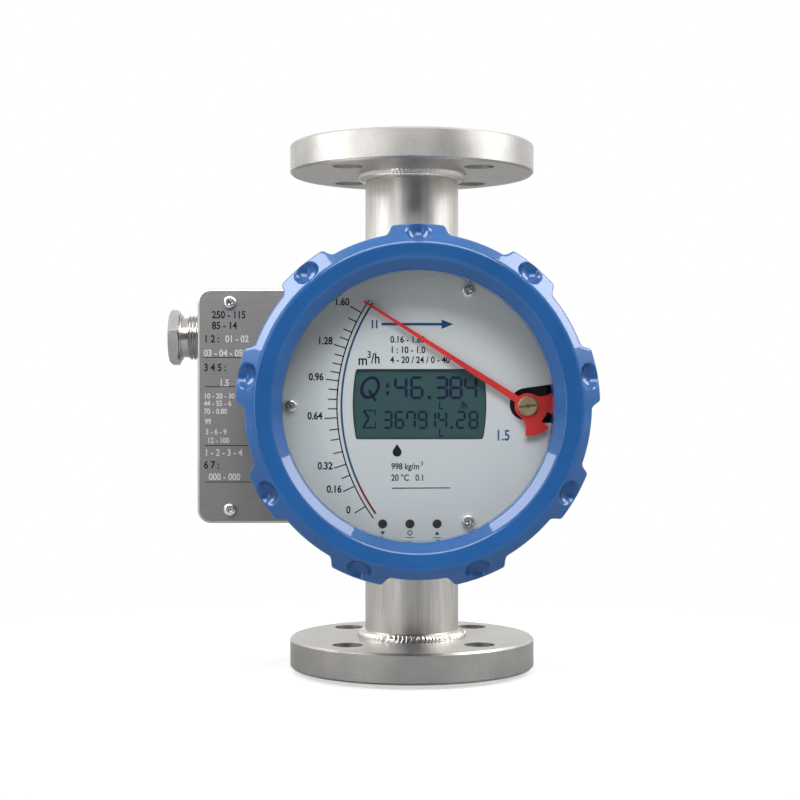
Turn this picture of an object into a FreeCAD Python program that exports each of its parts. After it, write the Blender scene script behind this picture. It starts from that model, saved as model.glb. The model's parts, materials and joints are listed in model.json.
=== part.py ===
"""Metal-tube variable-area flow meter (rotameter) with flanged ends and a round indicator head.

Millimetres. The origin is the centre of the inlet sealing face, on the tube axis. +Z runs up the
tube with the flow, and the dial faces -Y. The head's own axis is parallel to Y at mid-height.
"""
import FreeCAD, Part
import os
from math import asin, cos, degrees, radians, sin, sqrt, tan

V = FreeCAD.Vector
X_AXIS, Y_AXIS, Z_AXIS = V(1, 0, 0), V(0, 1, 0), V(0, 0, 1)
TOUCH = 1e-3                # two places nearer than this are the same

# --- Pipe connection -----------------------------------------------------------------------
FACE_TO_FACE = 250.0        # between the two sealing faces
FLANGE_D = 115.0
FLANGE_RIM = 14.0           # thickness outside the raised face
FLANGE_EDGE = 1.0           # chamfer on the rim
RAISED_FACE_D = 68.0
RAISED_FACE_H = 2.0
BOLT_CIRCLE_D = 85.0
BOLT_HOLE_D = 14.0
BOLT_COUNT = 4
SOCKET_FLOOR = 4.0          # flange metal between the sealing face and the tube's end
SOCKET_CLEARANCE = 0.1
BORE_STEP = 0.3             # flange's bore wider than the tube's, each side
TUBE_D = 44.0
TUBE_BORE_D = 38.0
WELD_LEG = 3.6
WELD_CROWN = 0.5            # how far the bead stands out of its straight-sided fillet

# --- Float, guides and metering cone ---------------------------------------------------------
STEM_D = 6.0
GUIDE_RUNNING = 0.05        # radial clearance of the stem in its guides
INSERT_CLEARANCE = 0.1      # radial clearance of guides and cone in the tube
GUIDE_LENGTH = 12.0
GUIDE_WALL = 2.4
GUIDE_HUB_D = 12.0
GUIDE_VANES = 3
VANE_WIDTH = 2.0
LOWER_GUIDE_Z = 48.0
CONE_LENGTH = 118.0
CONE_INLET_D = 26.4
CONE_OUTLET_D = 34.0
STOP_RING_H = 1.5
STOP_RING_WIDTH = 3.4
STOP_RING_GAP = 7.0
STOP_GROOVE = 0.9           # depth of the ring's groove in the tube
FLOAT_EDGE_D = 25.8         # the metering edge
FLOAT_EDGE_H = 2.0
FLOAT_BODY_D = 21.0
FLOAT_BODY_TOP = 16.0       # heights on the float are measured from the magnet's centre
FLOAT_NECK_BOTTOM = -13.0
FLOAT_EDGE_TOP = -16.0
FLOAT_NOSE_H = 6.0
FLOAT_CAP_H = 3.0
STEM_BOTTOM = -96.0
STEM_TOP = 87.0
FLOAT_MAGNET_D = 16.0
FLOAT_MAGNET_H = 20.0

# --- Head: bowl, window and cover, from the box outwards ---------------------------------------
HEAD_Z = FACE_TO_FACE / 2
BOX_BACK_Y = -28.0
BOX_DEPTH = 32.0
BOWL_BAND = 16.0            # length of the bowl that shows behind the cover
BOWL_BORE_D = 124.0
BOWL_FLOOR_T = 4.0
BOWL_EDGE = 2.0
SPIGOT_LENGTH = 12.5
SPIGOT_WALL = 4.0
SHOULDER_STEP = 4.0         # bowl's band outside its spigot
SEAL_T = 1.2
GLASS_RING_T = 1.5
GLASS_RING_MARGIN = 1.5     # between the ring's bore and the cover's opening
GLASS_T = 5.0
GLASS_CLEARANCE = 0.3
GASKET_T = 0.8
OPENING_INSET = 6.0         # cover's opening inside the bowl's bore
GLASS_SEAT = 6.0            # width of the lip that the gasket lies on
LIP_DEPTH = 13.0
LIP_STRAIGHT = 1.5
THREAD_CLEARANCE = 0.4
COVER_GAP = 0.4             # between the cover's rear and the bowl's shoulder
COVER_WALL = 5.0
FRONT_BAND = 5.7            # from the foremost circle in to the window's cone
FRONT_BAND_DROP = 0.9
BEZEL_ROUND = 1.2
SHOULDER_RADIUS = 9.5
REAR_CHAMFER = 0.8
LOBE_HEIGHT = 4.2
LOBE_COUNT = 9
LOBE_FIRST = 10.0           # degrees from +X
LOBE_TOP_WIDTH = 21.0
LOBE_FOOT_WIDTH = 26.5
LOBE_TOP_ROUND = 1.6
LOBE_FOOT_ROUND = 3.0
SCOOP_RADIUS = 5.0
SCOOP_FROM_CREST = 0.7
SCOOP_PAST_SHOULDER = 2.1

# --- Rear box --------------------------------------------------------------------------------
BOX_LEFT = -95.2
BOX_PAST_SPINDLE = 9.4
BOX_HALF_H = 51.2
BOX_WALL = 2.5
BOX_CORNER_LEFT = 6.0
BOX_CORNER_RIGHT = 12.0
BOX_EDGE = 1.0
PLATE_INSET = 1.0           # nameplate inside the box's outline
PLATE_T = 0.8
PLATE_GAP = 0.4             # round the bowl
ENTRY_ABOVE_MIDDLE = 30.4   # cable entry
ENTRY_THREAD_D = 20.0
ENTRY_BOSS_D = 27.0
ENTRY_BOSS_LENGTH = 7.0
PLUG_CLEARANCE = 0.15
PLUG_HEX_AF = 22.0
PLUG_HEX_H = 4.7
PLUG_HEX_TURN = 42.0        # degrees of one flat's normal above the front
PLUG_COLLAR_D = 20.0
PLUG_COLLAR_H = 0.9
PLUG_NECK_D = 17.4
PLUG_NECK_H = 2.8
PLUG_STAND_OFF = 5.3        # thread left showing outside the wall
SADDLE_WIDTH = 40.0
SADDLE_HEIGHT = 16.0
SADDLE_GRIP = 16.0          # depth of the saddle, round the tube's side
SADDLE_OFFSET = 38.0        # from mid-height

# --- Dial and electronics ----------------------------------------------------------------------
DIAL_BEHIND_GLASS = 6.2
DIAL_T = 1.0
DIAL_CLEARANCE = 0.5
DIAL_SCREW_INSET = 8.3
DIAL_SCREW_ANGLES = (66.0, 180.0, 294.0)
DIAL_POST_D = 6.0
DISPLAY_X = 1.1
DISPLAY_ABOVE_MIDDLE = 0.8
DISPLAY_HALF_H = 14.8
DISPLAY_HALF_W = 26.7       # at the corners
DISPLAY_BULGE = 1.4         # of each side at half height
DISPLAY_BORDER = 1.5        # module behind the dial, beyond its window
DISPLAY_DEPTH = 8.4
BOARD_T = 1.6
BOARD_MARGIN = 5.0          # between the board's edge and the bowl's wall
BOARD_TO_MOVEMENT = 1.5
BOARD_NOTCH_D = 9.0
BOARD_POST_D = 5.0
BOARD_POSTS = ((-34.0, 26.0), (-34.0, -26.0), (14.0, 36.0), (14.0, -36.0))
KEY_PITCH = 11.5
KEY_MIDDLE_X = -3.0
KEY_INSET = 11.7            # from the dial's lower edge
KEY_NAMES = ("down", "set", "up")
KEY_HOLE_D = 3.9
KEY_CLEARANCE = 0.25
KEY_FLANGE_D = 5.6
KEY_FLANGE_T = 1.2
KEY_PROUD = 0.3
KEY_STEM_D = 2.4
KEY_REST_GAP = 0.1
KEY_SWITCH_GAP = 0.6        # more than the key's travel
SWITCH_SIZE = 6.0
SWITCH_H = 3.6

# --- Pointer and movement ----------------------------------------------------------------------
SPINDLE_X = 46.6            # also the follower's radius, so that its magnet passes over the tube
SPINDLE_D = 3.0
SPINDLE_RUNNING = 0.05
SPINDLE_COLLAR_D = 6.0
POINTER_REST = 147.4        # degrees from +X at full scale
POINTER_ABOVE_DIAL = 3.2
POINTER_T = 0.8
NEEDLE_LENGTH = 81.8
NEEDLE_ROOT = 2.9
NEEDLE_TIP = 1.0
POINTER_HUB_D = 11.0
TAIL_RADIUS = 12.7
TAIL_OUTER = 61.5           # half angle of the whole tail, from its middle
TAIL_INNER = 12.6           # half angle of the notch between its two blades
TAIL_NOTCH_R = 8.6
TAIL_WAIST_R = 6.4
POINTER_SCREW_D = 8.4
POINTER_SCREW_HEAD = 1.6
POINTER_SCREW_SLOT = 0.8
POINTER_SCREW_SHANK_D = 2.0
CUTOUT_RADIUS = 7.7
CUTOUT_DROP = 7.1
CUTOUT_RISE = 8.0           # degrees of its upper edge
MOVEMENT_PAST_SPINDLE = (14.6, 8.4)     # left and right
MOVEMENT_HALF_H = 24.0
MOVEMENT_BEHIND_DIAL = 2.0
MOVEMENT_T = 2.0
PILLAR_D = 5.0
PILLARS = ((-10.6, 20.0), (-10.6, -20.0), (4.4, 20.0), (4.4, -20.0))    # from the spindle
BEARING_D = 7.0
BEARING_FLANGE_D = 9.0
BEARING_FLANGE_T = 0.6
BRIDGE_WIDTH = 12.0
BRIDGE_HALF_H = 16.0
BRIDGE_T = 2.0
BRIDGE_CORNER = 2.0
BRIDGE_SCREW_Z = 12.8
SLOT_PAST_TUBE = 8.0        # way through for the follower arm
SLOT_PAST_SPINDLE = 6.4
SLOT_HALF_H = 9.0
SLOT_CORNER = 4.0
ARM_IN_BOX = 7.4            # front of the follower arm behind the box's front
ARM_T = 2.6
ARM_WIDTH = 5.0
ARM_HUB_D = 10.0
ARM_HUB_T = 6.0
FOLLOWER_MAGNET_D = 8.0
FOLLOWER_GAP = 3.5          # between the magnet and the box's back wall

# --- Terminals and fasteners -----------------------------------------------------------------
TERMINAL_FROM_LEFT = 23.2
TERMINAL_WIDTH = 20.0
TERMINAL_DEPTH = 14.0
TERMINAL_WAYS = 4
TERMINAL_PITCH = 9.0
TERMINAL_BELOW_MIDDLE = 16.0
TERMINAL_WIRE_D = 4.0
M2_5 = 2.5
M3 = 3.0
M4 = 4.0
M5 = 5.0
HEAD_RATIO_D = 1.85         # pan head over thread
HEAD_RATIO_H = 0.62
HEAD_ROUND = 0.45           # of the head's height
PLATE_SCREW_INSET = 14.3
PLATE_SCREW_DROP = 6.0
BOWL_SCREW_INSET = 6.7       # from the bowl's bore
BOWL_SCREW_ANGLES = (49.4, 130.6, 229.4, 310.6)
SADDLE_SCREW_X = 13.0
SCREW_INTO_SADDLE = 7.0

# --- Worked out from the sizes above -----------------------------------------------------------
TUBE_R = TUBE_D / 2
BORE_R = TUBE_BORE_D / 2
FLANGE_TOP = RAISED_FACE_H + FLANGE_RIM
LOWER_CONE_Z = LOWER_GUIDE_Z + GUIDE_LENGTH
UPPER_GUIDE_Z = LOWER_CONE_Z + CONE_LENGTH
UPPER_STOP_Z = UPPER_GUIDE_Z + GUIDE_LENGTH
INSERT_R = BORE_R - INSERT_CLEARANCE
FLOAT_Z = HEAD_Z + SPINDLE_X * sin(radians(180 - POINTER_REST))   # magnet centre at full scale
BOX_FRONT_Y = BOX_BACK_Y - BOX_DEPTH
BOX_INNER_BACK_Y = BOX_BACK_Y - BOX_WALL
BOX_RIGHT = SPINDLE_X + BOX_PAST_SPINDLE
PLATE_SCREW_X = BOX_LEFT + PLATE_SCREW_INSET
PLATE_SCREW_Z = BOX_HALF_H - PLATE_SCREW_DROP       # from mid-height
ENTRY_Y = (BOX_BACK_Y + BOX_FRONT_Y) / 2
ENTRY_Z = HEAD_Z + ENTRY_ABOVE_MIDDLE
BOWL_FLOOR_Y = BOX_FRONT_Y - BOWL_FLOOR_T
BOWL_SHOULDER_Y = BOX_FRONT_Y - BOWL_BAND
SPIGOT_Y = BOWL_SHOULDER_Y - SPIGOT_LENGTH
THREAD_D = BOWL_BORE_D + 2 * SPIGOT_WALL
BOWL_D = THREAD_D + 2 * SHOULDER_STEP
SEAL_Y = SPIGOT_Y - SEAL_T
GLASS_BACK_Y = SEAL_Y - GLASS_RING_T
GLASS_Y = GLASS_BACK_Y - GLASS_T
LIP_Y = GLASS_Y - GASKET_T
COVER_FRONT_Y = LIP_Y - LIP_DEPTH
COVER_REAR_Y = BOWL_SHOULDER_Y - COVER_GAP
COVER_BORE_R = THREAD_D / 2 + THREAD_CLEARANCE
COVER_R = COVER_BORE_R + COVER_WALL
LOBE_R = COVER_R + LOBE_HEIGHT
CREST_R = LOBE_R - SHOULDER_RADIUS      # the cover's foremost circle
OPENING_R = BOWL_BORE_D / 2 - OPENING_INSET
GLASS_R = OPENING_R + GLASS_SEAT
DIAL_Y = GLASS_BACK_Y + DIAL_BEHIND_GLASS
DIAL_BACK_Y = DIAL_Y + DIAL_T
DIAL_R = BOWL_BORE_D / 2 - DIAL_CLEARANCE
DIAL_SCREW_R = DIAL_R - DIAL_SCREW_INSET
KEY_Z = HEAD_Z - DIAL_R + KEY_INSET
DISPLAY_Z = HEAD_Z + DISPLAY_ABOVE_MIDDLE
BOARD_Y = DIAL_BACK_Y + DISPLAY_DEPTH
BOARD_BACK_Y = BOARD_Y + BOARD_T
BOARD_R = BOWL_BORE_D / 2 - BOARD_MARGIN
POINTER_Y = DIAL_Y - POINTER_ABOVE_DIAL             # front of the pointer
MOVEMENT_FRONT_Y = DIAL_BACK_Y + MOVEMENT_BEHIND_DIAL
MOVEMENT_BACK_Y = MOVEMENT_FRONT_Y + MOVEMENT_T
MOVEMENT_LEFT = SPINDLE_X - MOVEMENT_PAST_SPINDLE[0]
MOVEMENT_RIGHT = SPINDLE_X + MOVEMENT_PAST_SPINDLE[1]
ARM_Y = BOX_FRONT_Y + ARM_IN_BOX
TERMINAL_X = BOX_LEFT + TERMINAL_FROM_LEFT
TERMINAL_Z = HEAD_Z - TERMINAL_BELOW_MIDDLE
TERMINAL_FRONT_Y = BOX_INNER_BACK_Y - TERMINAL_DEPTH


# --- Shape helpers -------------------------------------------------------------------------------
def outline_face(points):
    """A flat face inside a closed run of straight edges."""
    return Part.Face(Part.makePolygon(list(points) + [points[0]]))


def turned(outline, centre=V(0, 0, 0)):
    """A solid turned about +Z from (radius, height) points."""
    face = outline_face([V(r, 0, z) for r, z in outline])
    solid = face.revolve(V(0, 0, 0), Z_AXIS, 360)
    solid.translate(centre)
    return solid


def turned_on_head(outline):
    """A solid turned about the head's axis from (radius, y) points."""
    face = outline_face([V(r, y, HEAD_Z) for r, y in outline])
    return face.revolve(V(0, 0, HEAD_Z), Y_AXIS, 360)


def rod(radius, x, z, front, back):
    """A round rod parallel to Y, from its front face back to its rear face."""
    return Part.makeCylinder(radius, back - front, V(x, front, z), Y_AXIS)


def ring_on_head(outer_r, inner_r, front, back):
    return turned_on_head([(inner_r, front), (outer_r, front), (outer_r, back), (inner_r, back)])


def rounded_panel(left, right, bottom, top, front, back, left_round, right_round):
    """A block whose four edges parallel to Y are rounded, a radius for each side."""
    corners = ((left, bottom, left_round, -1, -1), (right, bottom, right_round, 1, -1),
               (right, top, right_round, 1, 1), (left, top, left_round, -1, 1))
    points, edges = [], []
    for x, z, radius, side, level in corners:
        centre_x, centre_z = x - side * radius, z - level * radius
        tips = [V(x, front, centre_z), V(centre_x, front, z)]
        if side != level:
            tips.reverse()
        reach = radius * sqrt(0.5)
        middle = V(centre_x + side * reach, front, centre_z + level * reach)
        if points:
            edges.append(Part.makeLine(points[-1], tips[0]))
        edges.append(Part.Arc(tips[0], middle, tips[1]).toShape())
        points += tips
    edges.append(Part.makeLine(points[-1], points[0]))
    return Part.Face(Part.Wire(edges)).extrude(V(0, back - front, 0))


def pan_head_screw(thread, x, z, seat, length):
    """A pan-head screw whose head faces -Y: seat is the y of the surface under its head."""
    head_r = thread * HEAD_RATIO_D / 2
    head_h = thread * HEAD_RATIO_H
    head = rod(head_r, x, z, seat - head_h, seat)
    rim = [e for e in head.Edges if abs(e.CenterOfMass.y - (seat - head_h)) < TOUCH and e.Closed]
    head = head.makeFillet(head_h * HEAD_ROUND, rim[:1])
    return head.fuse(rod(thread / 2, x, z, seat, seat + length)).removeSplitter()


def on_circle(radius, angle):
    """The x and z of a point on a circle about the head's axis."""
    return radius * cos(radians(angle)), HEAD_Z + radius * sin(radians(angle))


# --- Tube and flanges ------------------------------------------------------------------------
def flange():
    """The inlet flange: raised face down, socket for the tube on top."""
    rim_r, face_r = FLANGE_D / 2, RAISED_FACE_D / 2
    bore_r, socket_r = BORE_R + BORE_STEP, TUBE_R + SOCKET_CLEARANCE
    body = turned([(bore_r, 0), (face_r, 0), (face_r, RAISED_FACE_H),
                   (rim_r - FLANGE_EDGE, RAISED_FACE_H), (rim_r, RAISED_FACE_H + FLANGE_EDGE),
                   (rim_r, FLANGE_TOP - FLANGE_EDGE), (rim_r - FLANGE_EDGE, FLANGE_TOP),
                   (socket_r, FLANGE_TOP), (socket_r, SOCKET_FLOOR), (bore_r, SOCKET_FLOOR)])
    for i in range(BOLT_COUNT):
        angle = radians(360 / BOLT_COUNT * (i + 0.5))
        place = V(BOLT_CIRCLE_D / 2 * cos(angle), BOLT_CIRCLE_D / 2 * sin(angle), 0)
        body = body.cut(Part.makeCylinder(BOLT_HOLE_D / 2, FLANGE_TOP, place))
    return body


def upside_down(shape):
    """The same piece at the outlet end."""
    copy = shape.copy()
    copy.rotate(V(0, 0, HEAD_Z), X_AXIS, 180)
    return copy


def measuring_tube():
    tube = turned([(BORE_R, SOCKET_FLOOR), (TUBE_R, SOCKET_FLOOR),
                   (TUBE_R, FACE_TO_FACE - SOCKET_FLOOR), (BORE_R, FACE_TO_FACE - SOCKET_FLOOR)])
    for z in (LOWER_GUIDE_Z - STOP_RING_H, UPPER_STOP_Z):
        tube = tube.cut(Part.makeCylinder(BORE_R + STOP_GROOVE, STOP_RING_H, V(0, 0, z)))
    return tube


def weld_bead():
    """A convex fillet weld between the tube and the inlet flange."""
    foot, top = V(TUBE_R + WELD_LEG, 0, FLANGE_TOP), V(TUBE_R, 0, FLANGE_TOP + WELD_LEG)
    corner = V(TUBE_R, 0, FLANGE_TOP)
    crown = (foot + top) * 0.5 + V(WELD_CROWN, 0, WELD_CROWN)
    wire = Part.Wire([Part.makeLine(corner, foot), Part.Arc(foot, crown, top).toShape(),
                      Part.makeLine(top, corner)])
    return Part.Face(wire).revolve(V(0, 0, 0), Z_AXIS, 360)


def metering_cone():
    return turned([(CONE_INLET_D / 2, LOWER_CONE_Z), (INSERT_R, LOWER_CONE_Z),
                   (INSERT_R, UPPER_GUIDE_Z), (CONE_OUTLET_D / 2, UPPER_GUIDE_Z)])


def guide(z):
    """A spider that carries the stem on the tube's axis and lets the flow past."""
    hub_r = GUIDE_HUB_D / 2
    ring = turned([(INSERT_R - GUIDE_WALL, z), (INSERT_R, z), (INSERT_R, z + GUIDE_LENGTH),
                   (INSERT_R - GUIDE_WALL, z + GUIDE_LENGTH)])
    spider = ring.fuse(Part.makeCylinder(hub_r, GUIDE_LENGTH, V(0, 0, z)))
    for i in range(GUIDE_VANES):
        vane = Part.makeBox(INSERT_R - GUIDE_WALL / 2, VANE_WIDTH, GUIDE_LENGTH, V(0, -VANE_WIDTH / 2, z))
        vane.rotate(V(0, 0, 0), Z_AXIS, 90 + 360 / GUIDE_VANES * i)
        spider = spider.fuse(vane)
    bore = Part.makeCylinder(STEM_D / 2 + GUIDE_RUNNING, GUIDE_LENGTH, V(0, 0, z))
    return spider.cut(bore).removeSplitter()


def stop_ring(z):
    """A sprung ring in the tube's groove, open at the back so that it can be squeezed in."""
    ring = turned([(BORE_R + STOP_GROOVE - STOP_RING_WIDTH, z), (BORE_R + STOP_GROOVE, z),
                   (BORE_R + STOP_GROOVE, z + STOP_RING_H),
                   (BORE_R + STOP_GROOVE - STOP_RING_WIDTH, z + STOP_RING_H)])
    return ring.cut(Part.makeBox(STOP_RING_GAP, TUBE_R, STOP_RING_H, V(-STOP_RING_GAP / 2, 0, z)))


# --- Float -----------------------------------------------------------------------------------
def float_body():
    edge_r, body_r, stem_r = FLOAT_EDGE_D / 2, FLOAT_BODY_D / 2, STEM_D / 2
    pocket_r, pocket_z = FLOAT_MAGNET_D / 2, -FLOAT_MAGNET_H / 2
    edge_bottom = FLOAT_EDGE_TOP - FLOAT_EDGE_H
    return turned([(0, STEM_BOTTOM), (stem_r, STEM_BOTTOM), (stem_r, edge_bottom - FLOAT_NOSE_H),
                   (edge_r, edge_bottom), (edge_r, FLOAT_EDGE_TOP), (body_r, FLOAT_NECK_BOTTOM),
                   (body_r, FLOAT_BODY_TOP), (pocket_r, FLOAT_BODY_TOP), (pocket_r, pocket_z),
                   (0, pocket_z)], V(0, 0, FLOAT_Z))


def float_magnet():
    base = V(0, 0, FLOAT_Z - FLOAT_MAGNET_H / 2)
    return Part.makeCylinder(FLOAT_MAGNET_D / 2, FLOAT_MAGNET_H, base)


def float_cap():
    """The plug that closes the magnet's pocket, with the upper stem."""
    cap_top = FLOAT_BODY_TOP + FLOAT_CAP_H
    return turned([(0, FLOAT_MAGNET_H / 2), (FLOAT_MAGNET_D / 2, FLOAT_MAGNET_H / 2),
                   (FLOAT_MAGNET_D / 2, FLOAT_BODY_TOP), (FLOAT_BODY_D / 2, FLOAT_BODY_TOP),
                   (STEM_D / 2, cap_top), (STEM_D / 2, STEM_TOP), (0, STEM_TOP)], V(0, 0, FLOAT_Z))


# --- Saddles and rear box --------------------------------------------------------------------
def saddle(side):
    """A block welded to the tube that carries the box. side is +1 above mid-height, -1 below."""
    z = HEAD_Z + side * SADDLE_OFFSET - SADDLE_HEIGHT / 2
    block = Part.makeBox(SADDLE_WIDTH, SADDLE_GRIP, SADDLE_HEIGHT,
                         V(-SADDLE_WIDTH / 2, BOX_BACK_Y, z))
    block = block.cut(Part.makeCylinder(TUBE_R, SADDLE_HEIGHT, V(0, 0, z)))
    for x in (-SADDLE_SCREW_X, SADDLE_SCREW_X):
        hole = rod(M5 / 2, x, HEAD_Z + side * SADDLE_OFFSET, BOX_BACK_Y, BOX_BACK_Y + SCREW_INTO_SADDLE)
        block = block.cut(hole)
    return block


def arm_slot(front, back):
    """The way through the bowl's floor and the box's front for the follower arm."""
    return rounded_panel(-SLOT_PAST_TUBE, SPINDLE_X + SLOT_PAST_SPINDLE,
                         HEAD_Z - SLOT_HALF_H, HEAD_Z + SLOT_HALF_H,
                         front, back, SLOT_CORNER, SLOT_CORNER)


def rear_box():
    """A closed box: its wiring space on the left, the follower's space behind the dial."""
    bottom, top = HEAD_Z - BOX_HALF_H, HEAD_Z + BOX_HALF_H
    shell = rounded_panel(BOX_LEFT, BOX_RIGHT, bottom, top, BOX_FRONT_Y, BOX_BACK_Y,
                          BOX_CORNER_LEFT, BOX_CORNER_RIGHT)
    shell = shell.makeFillet(BOX_EDGE, [e for e in shell.Edges
                                        if abs(e.BoundBox.YMin - BOX_FRONT_Y) < TOUCH
                                        and e.BoundBox.YLength < TOUCH])
    hollow = rounded_panel(BOX_LEFT + BOX_WALL, BOX_RIGHT - BOX_WALL, bottom + BOX_WALL, top - BOX_WALL,
                           BOX_FRONT_Y + BOX_WALL, BOX_INNER_BACK_Y,
                           BOX_CORNER_LEFT - BOX_WALL, BOX_CORNER_RIGHT - BOX_WALL)
    boss = Part.makeCylinder(ENTRY_BOSS_D / 2, BOX_WALL + ENTRY_BOSS_LENGTH,
                             V(BOX_LEFT, ENTRY_Y, ENTRY_Z), X_AXIS)
    hollow = hollow.cut(boss)
    shell = shell.cut(hollow)
    shell = shell.cut(Part.makeCylinder(ENTRY_THREAD_D / 2, BOX_WALL + ENTRY_BOSS_LENGTH,
                                        V(BOX_LEFT, ENTRY_Y, ENTRY_Z), X_AXIS))
    shell = shell.cut(arm_slot(BOX_FRONT_Y, BOX_FRONT_Y + BOX_WALL))
    for x, z in bowl_screw_places():
        shell = shell.cut(rod(M4 / 2, x, z, BOX_FRONT_Y, BOX_FRONT_Y + BOX_WALL))
    for side in (-1, 1):
        z = HEAD_Z + side * PLATE_SCREW_Z
        shell = shell.cut(rod(M3 / 2, PLATE_SCREW_X, z, BOX_FRONT_Y, BOX_FRONT_Y + BOX_WALL))
        for x in (-SADDLE_SCREW_X, SADDLE_SCREW_X):
            z = HEAD_Z + side * SADDLE_OFFSET
            shell = shell.cut(rod(M5 / 2, x, z, BOX_INNER_BACK_Y, BOX_BACK_Y))
    return shell


def saddle_screws():
    return [pan_head_screw(M5, x, HEAD_Z + side * SADDLE_OFFSET, BOX_INNER_BACK_Y,
                           BOX_WALL + SCREW_INTO_SADDLE)
            for side in (-1, 1) for x in (-SADDLE_SCREW_X, SADDLE_SCREW_X)]


def nameplate():
    """A bare plate with rounded corners, cut out round the bowl on its right."""
    plate = rounded_panel(BOX_LEFT + PLATE_INSET, 0, HEAD_Z - BOX_HALF_H + PLATE_INSET,
                          HEAD_Z + BOX_HALF_H - PLATE_INSET, BOX_FRONT_Y - PLATE_T, BOX_FRONT_Y,
                          BOX_CORNER_LEFT - PLATE_INSET, BOX_CORNER_LEFT - PLATE_INSET)
    plate = plate.cut(rod(BOWL_D / 2 + PLATE_GAP, 0, HEAD_Z, BOX_FRONT_Y - PLATE_T, BOX_FRONT_Y))
    for side in (-1, 1):
        z = HEAD_Z + side * PLATE_SCREW_Z
        plate = plate.cut(rod(M3 / 2, PLATE_SCREW_X, z, BOX_FRONT_Y - PLATE_T, BOX_FRONT_Y))
    return plate


def nameplate_screws():
    return [pan_head_screw(M3, PLATE_SCREW_X, HEAD_Z + side * PLATE_SCREW_Z,
                           BOX_FRONT_Y - PLATE_T, PLATE_T + BOX_WALL) for side in (-1, 1)]


def blanking_plug():
    """A hexagon-headed plug in the cable entry, with some of its thread still outside."""
    thread_r = ENTRY_THREAD_D / 2 - PLUG_CLEARANCE
    wall = BOX_LEFT
    neck = wall - PLUG_STAND_OFF
    collar = neck - PLUG_NECK_H
    hex_right = collar - PLUG_COLLAR_H
    inside = wall + BOX_WALL + ENTRY_BOSS_LENGTH - PLUG_COLLAR_H
    centre = V(0, ENTRY_Y, ENTRY_Z)
    outline = [(hex_right, 0), (hex_right, PLUG_COLLAR_D / 2), (collar, PLUG_COLLAR_D / 2),
               (collar, PLUG_NECK_D / 2), (neck, PLUG_NECK_D / 2), (neck, thread_r),
               (inside, thread_r), (inside, 0)]
    shank = outline_face([V(x, 0, r) for x, r in outline]).revolve(V(0, 0, 0), X_AXIS, 360)
    corner_r = PLUG_HEX_AF / sqrt(3)
    flat_r = PLUG_HEX_AF / 2
    corners = [radians(PLUG_HEX_TURN + 30 + 60 * i) for i in range(6)]
    hexagon = outline_face([V(hex_right, -corner_r * cos(a), corner_r * sin(a)) for a in corners])
    head = hexagon.extrude(V(-PLUG_HEX_H, 0, 0))
    chamfer = (corner_r - flat_r) * tan(radians(30))
    left = hex_right - PLUG_HEX_H
    lens = [(left, 0), (left, flat_r), (left + chamfer, corner_r), (hex_right - chamfer, corner_r),
            (hex_right, flat_r), (hex_right, 0)]
    head = head.common(outline_face([V(x, 0, r) for x, r in lens]).revolve(V(0, 0, 0), X_AXIS, 360))
    plug = shank.fuse(head).removeSplitter()
    plug.translate(centre)
    return plug


def terminal_block():
    """Wire clamps in a row on the box's back wall."""
    height = TERMINAL_WAYS * TERMINAL_PITCH
    front = TERMINAL_FRONT_Y
    left, bottom = TERMINAL_X - TERMINAL_WIDTH / 2, TERMINAL_Z - height / 2
    block = Part.makeBox(TERMINAL_WIDTH, TERMINAL_DEPTH, height, V(left, front, bottom))
    for z in terminal_levels():
        entry = Part.makeCylinder(TERMINAL_WIRE_D / 2, TERMINAL_WIDTH / 3,
                                  V(left, front + TERMINAL_DEPTH / 2, z), X_AXIS)
        block = block.cut(entry).cut(rod(M3 / 2, TERMINAL_X, z, front, front + TERMINAL_DEPTH / 3))
    return block


def terminal_levels():
    return [TERMINAL_Z + TERMINAL_PITCH * (i - (TERMINAL_WAYS - 1) / 2) for i in range(TERMINAL_WAYS)]


def terminal_screws():
    return [pan_head_screw(M3, TERMINAL_X, z, TERMINAL_FRONT_Y, TERMINAL_DEPTH / 3)
            for z in terminal_levels()]


# --- Head housing and cover --------------------------------------------------------------------
def bowl():
    """The round housing: a floor on the box, a wall, and the spigot that the cover screws on."""
    outer_r, inner_r, thread_r = BOWL_D / 2, BOWL_BORE_D / 2, THREAD_D / 2
    body = turned_on_head([(0, BOX_FRONT_Y), (outer_r - BOWL_EDGE, BOX_FRONT_Y),
                           (outer_r, BOX_FRONT_Y - BOWL_EDGE), (outer_r, BOWL_SHOULDER_Y),
                           (thread_r, BOWL_SHOULDER_Y), (thread_r, SPIGOT_Y),
                           (inner_r, SPIGOT_Y), (inner_r, BOWL_FLOOR_Y), (0, BOWL_FLOOR_Y)])
    body = body.cut(arm_slot(BOWL_FLOOR_Y, BOX_FRONT_Y))
    for x, z in bowl_screw_places():
        body = body.cut(rod(M4 / 2, x, z, BOWL_FLOOR_Y, BOX_FRONT_Y))
    return body


def bowl_screw_places():
    return [on_circle(BOWL_BORE_D / 2 - BOWL_SCREW_INSET, angle) for angle in BOWL_SCREW_ANGLES]


def bowl_screws():
    return [pan_head_screw(M4, x, z, BOWL_FLOOR_Y, BOWL_FLOOR_T + BOX_WALL)
            for x, z in bowl_screw_places()]


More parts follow.
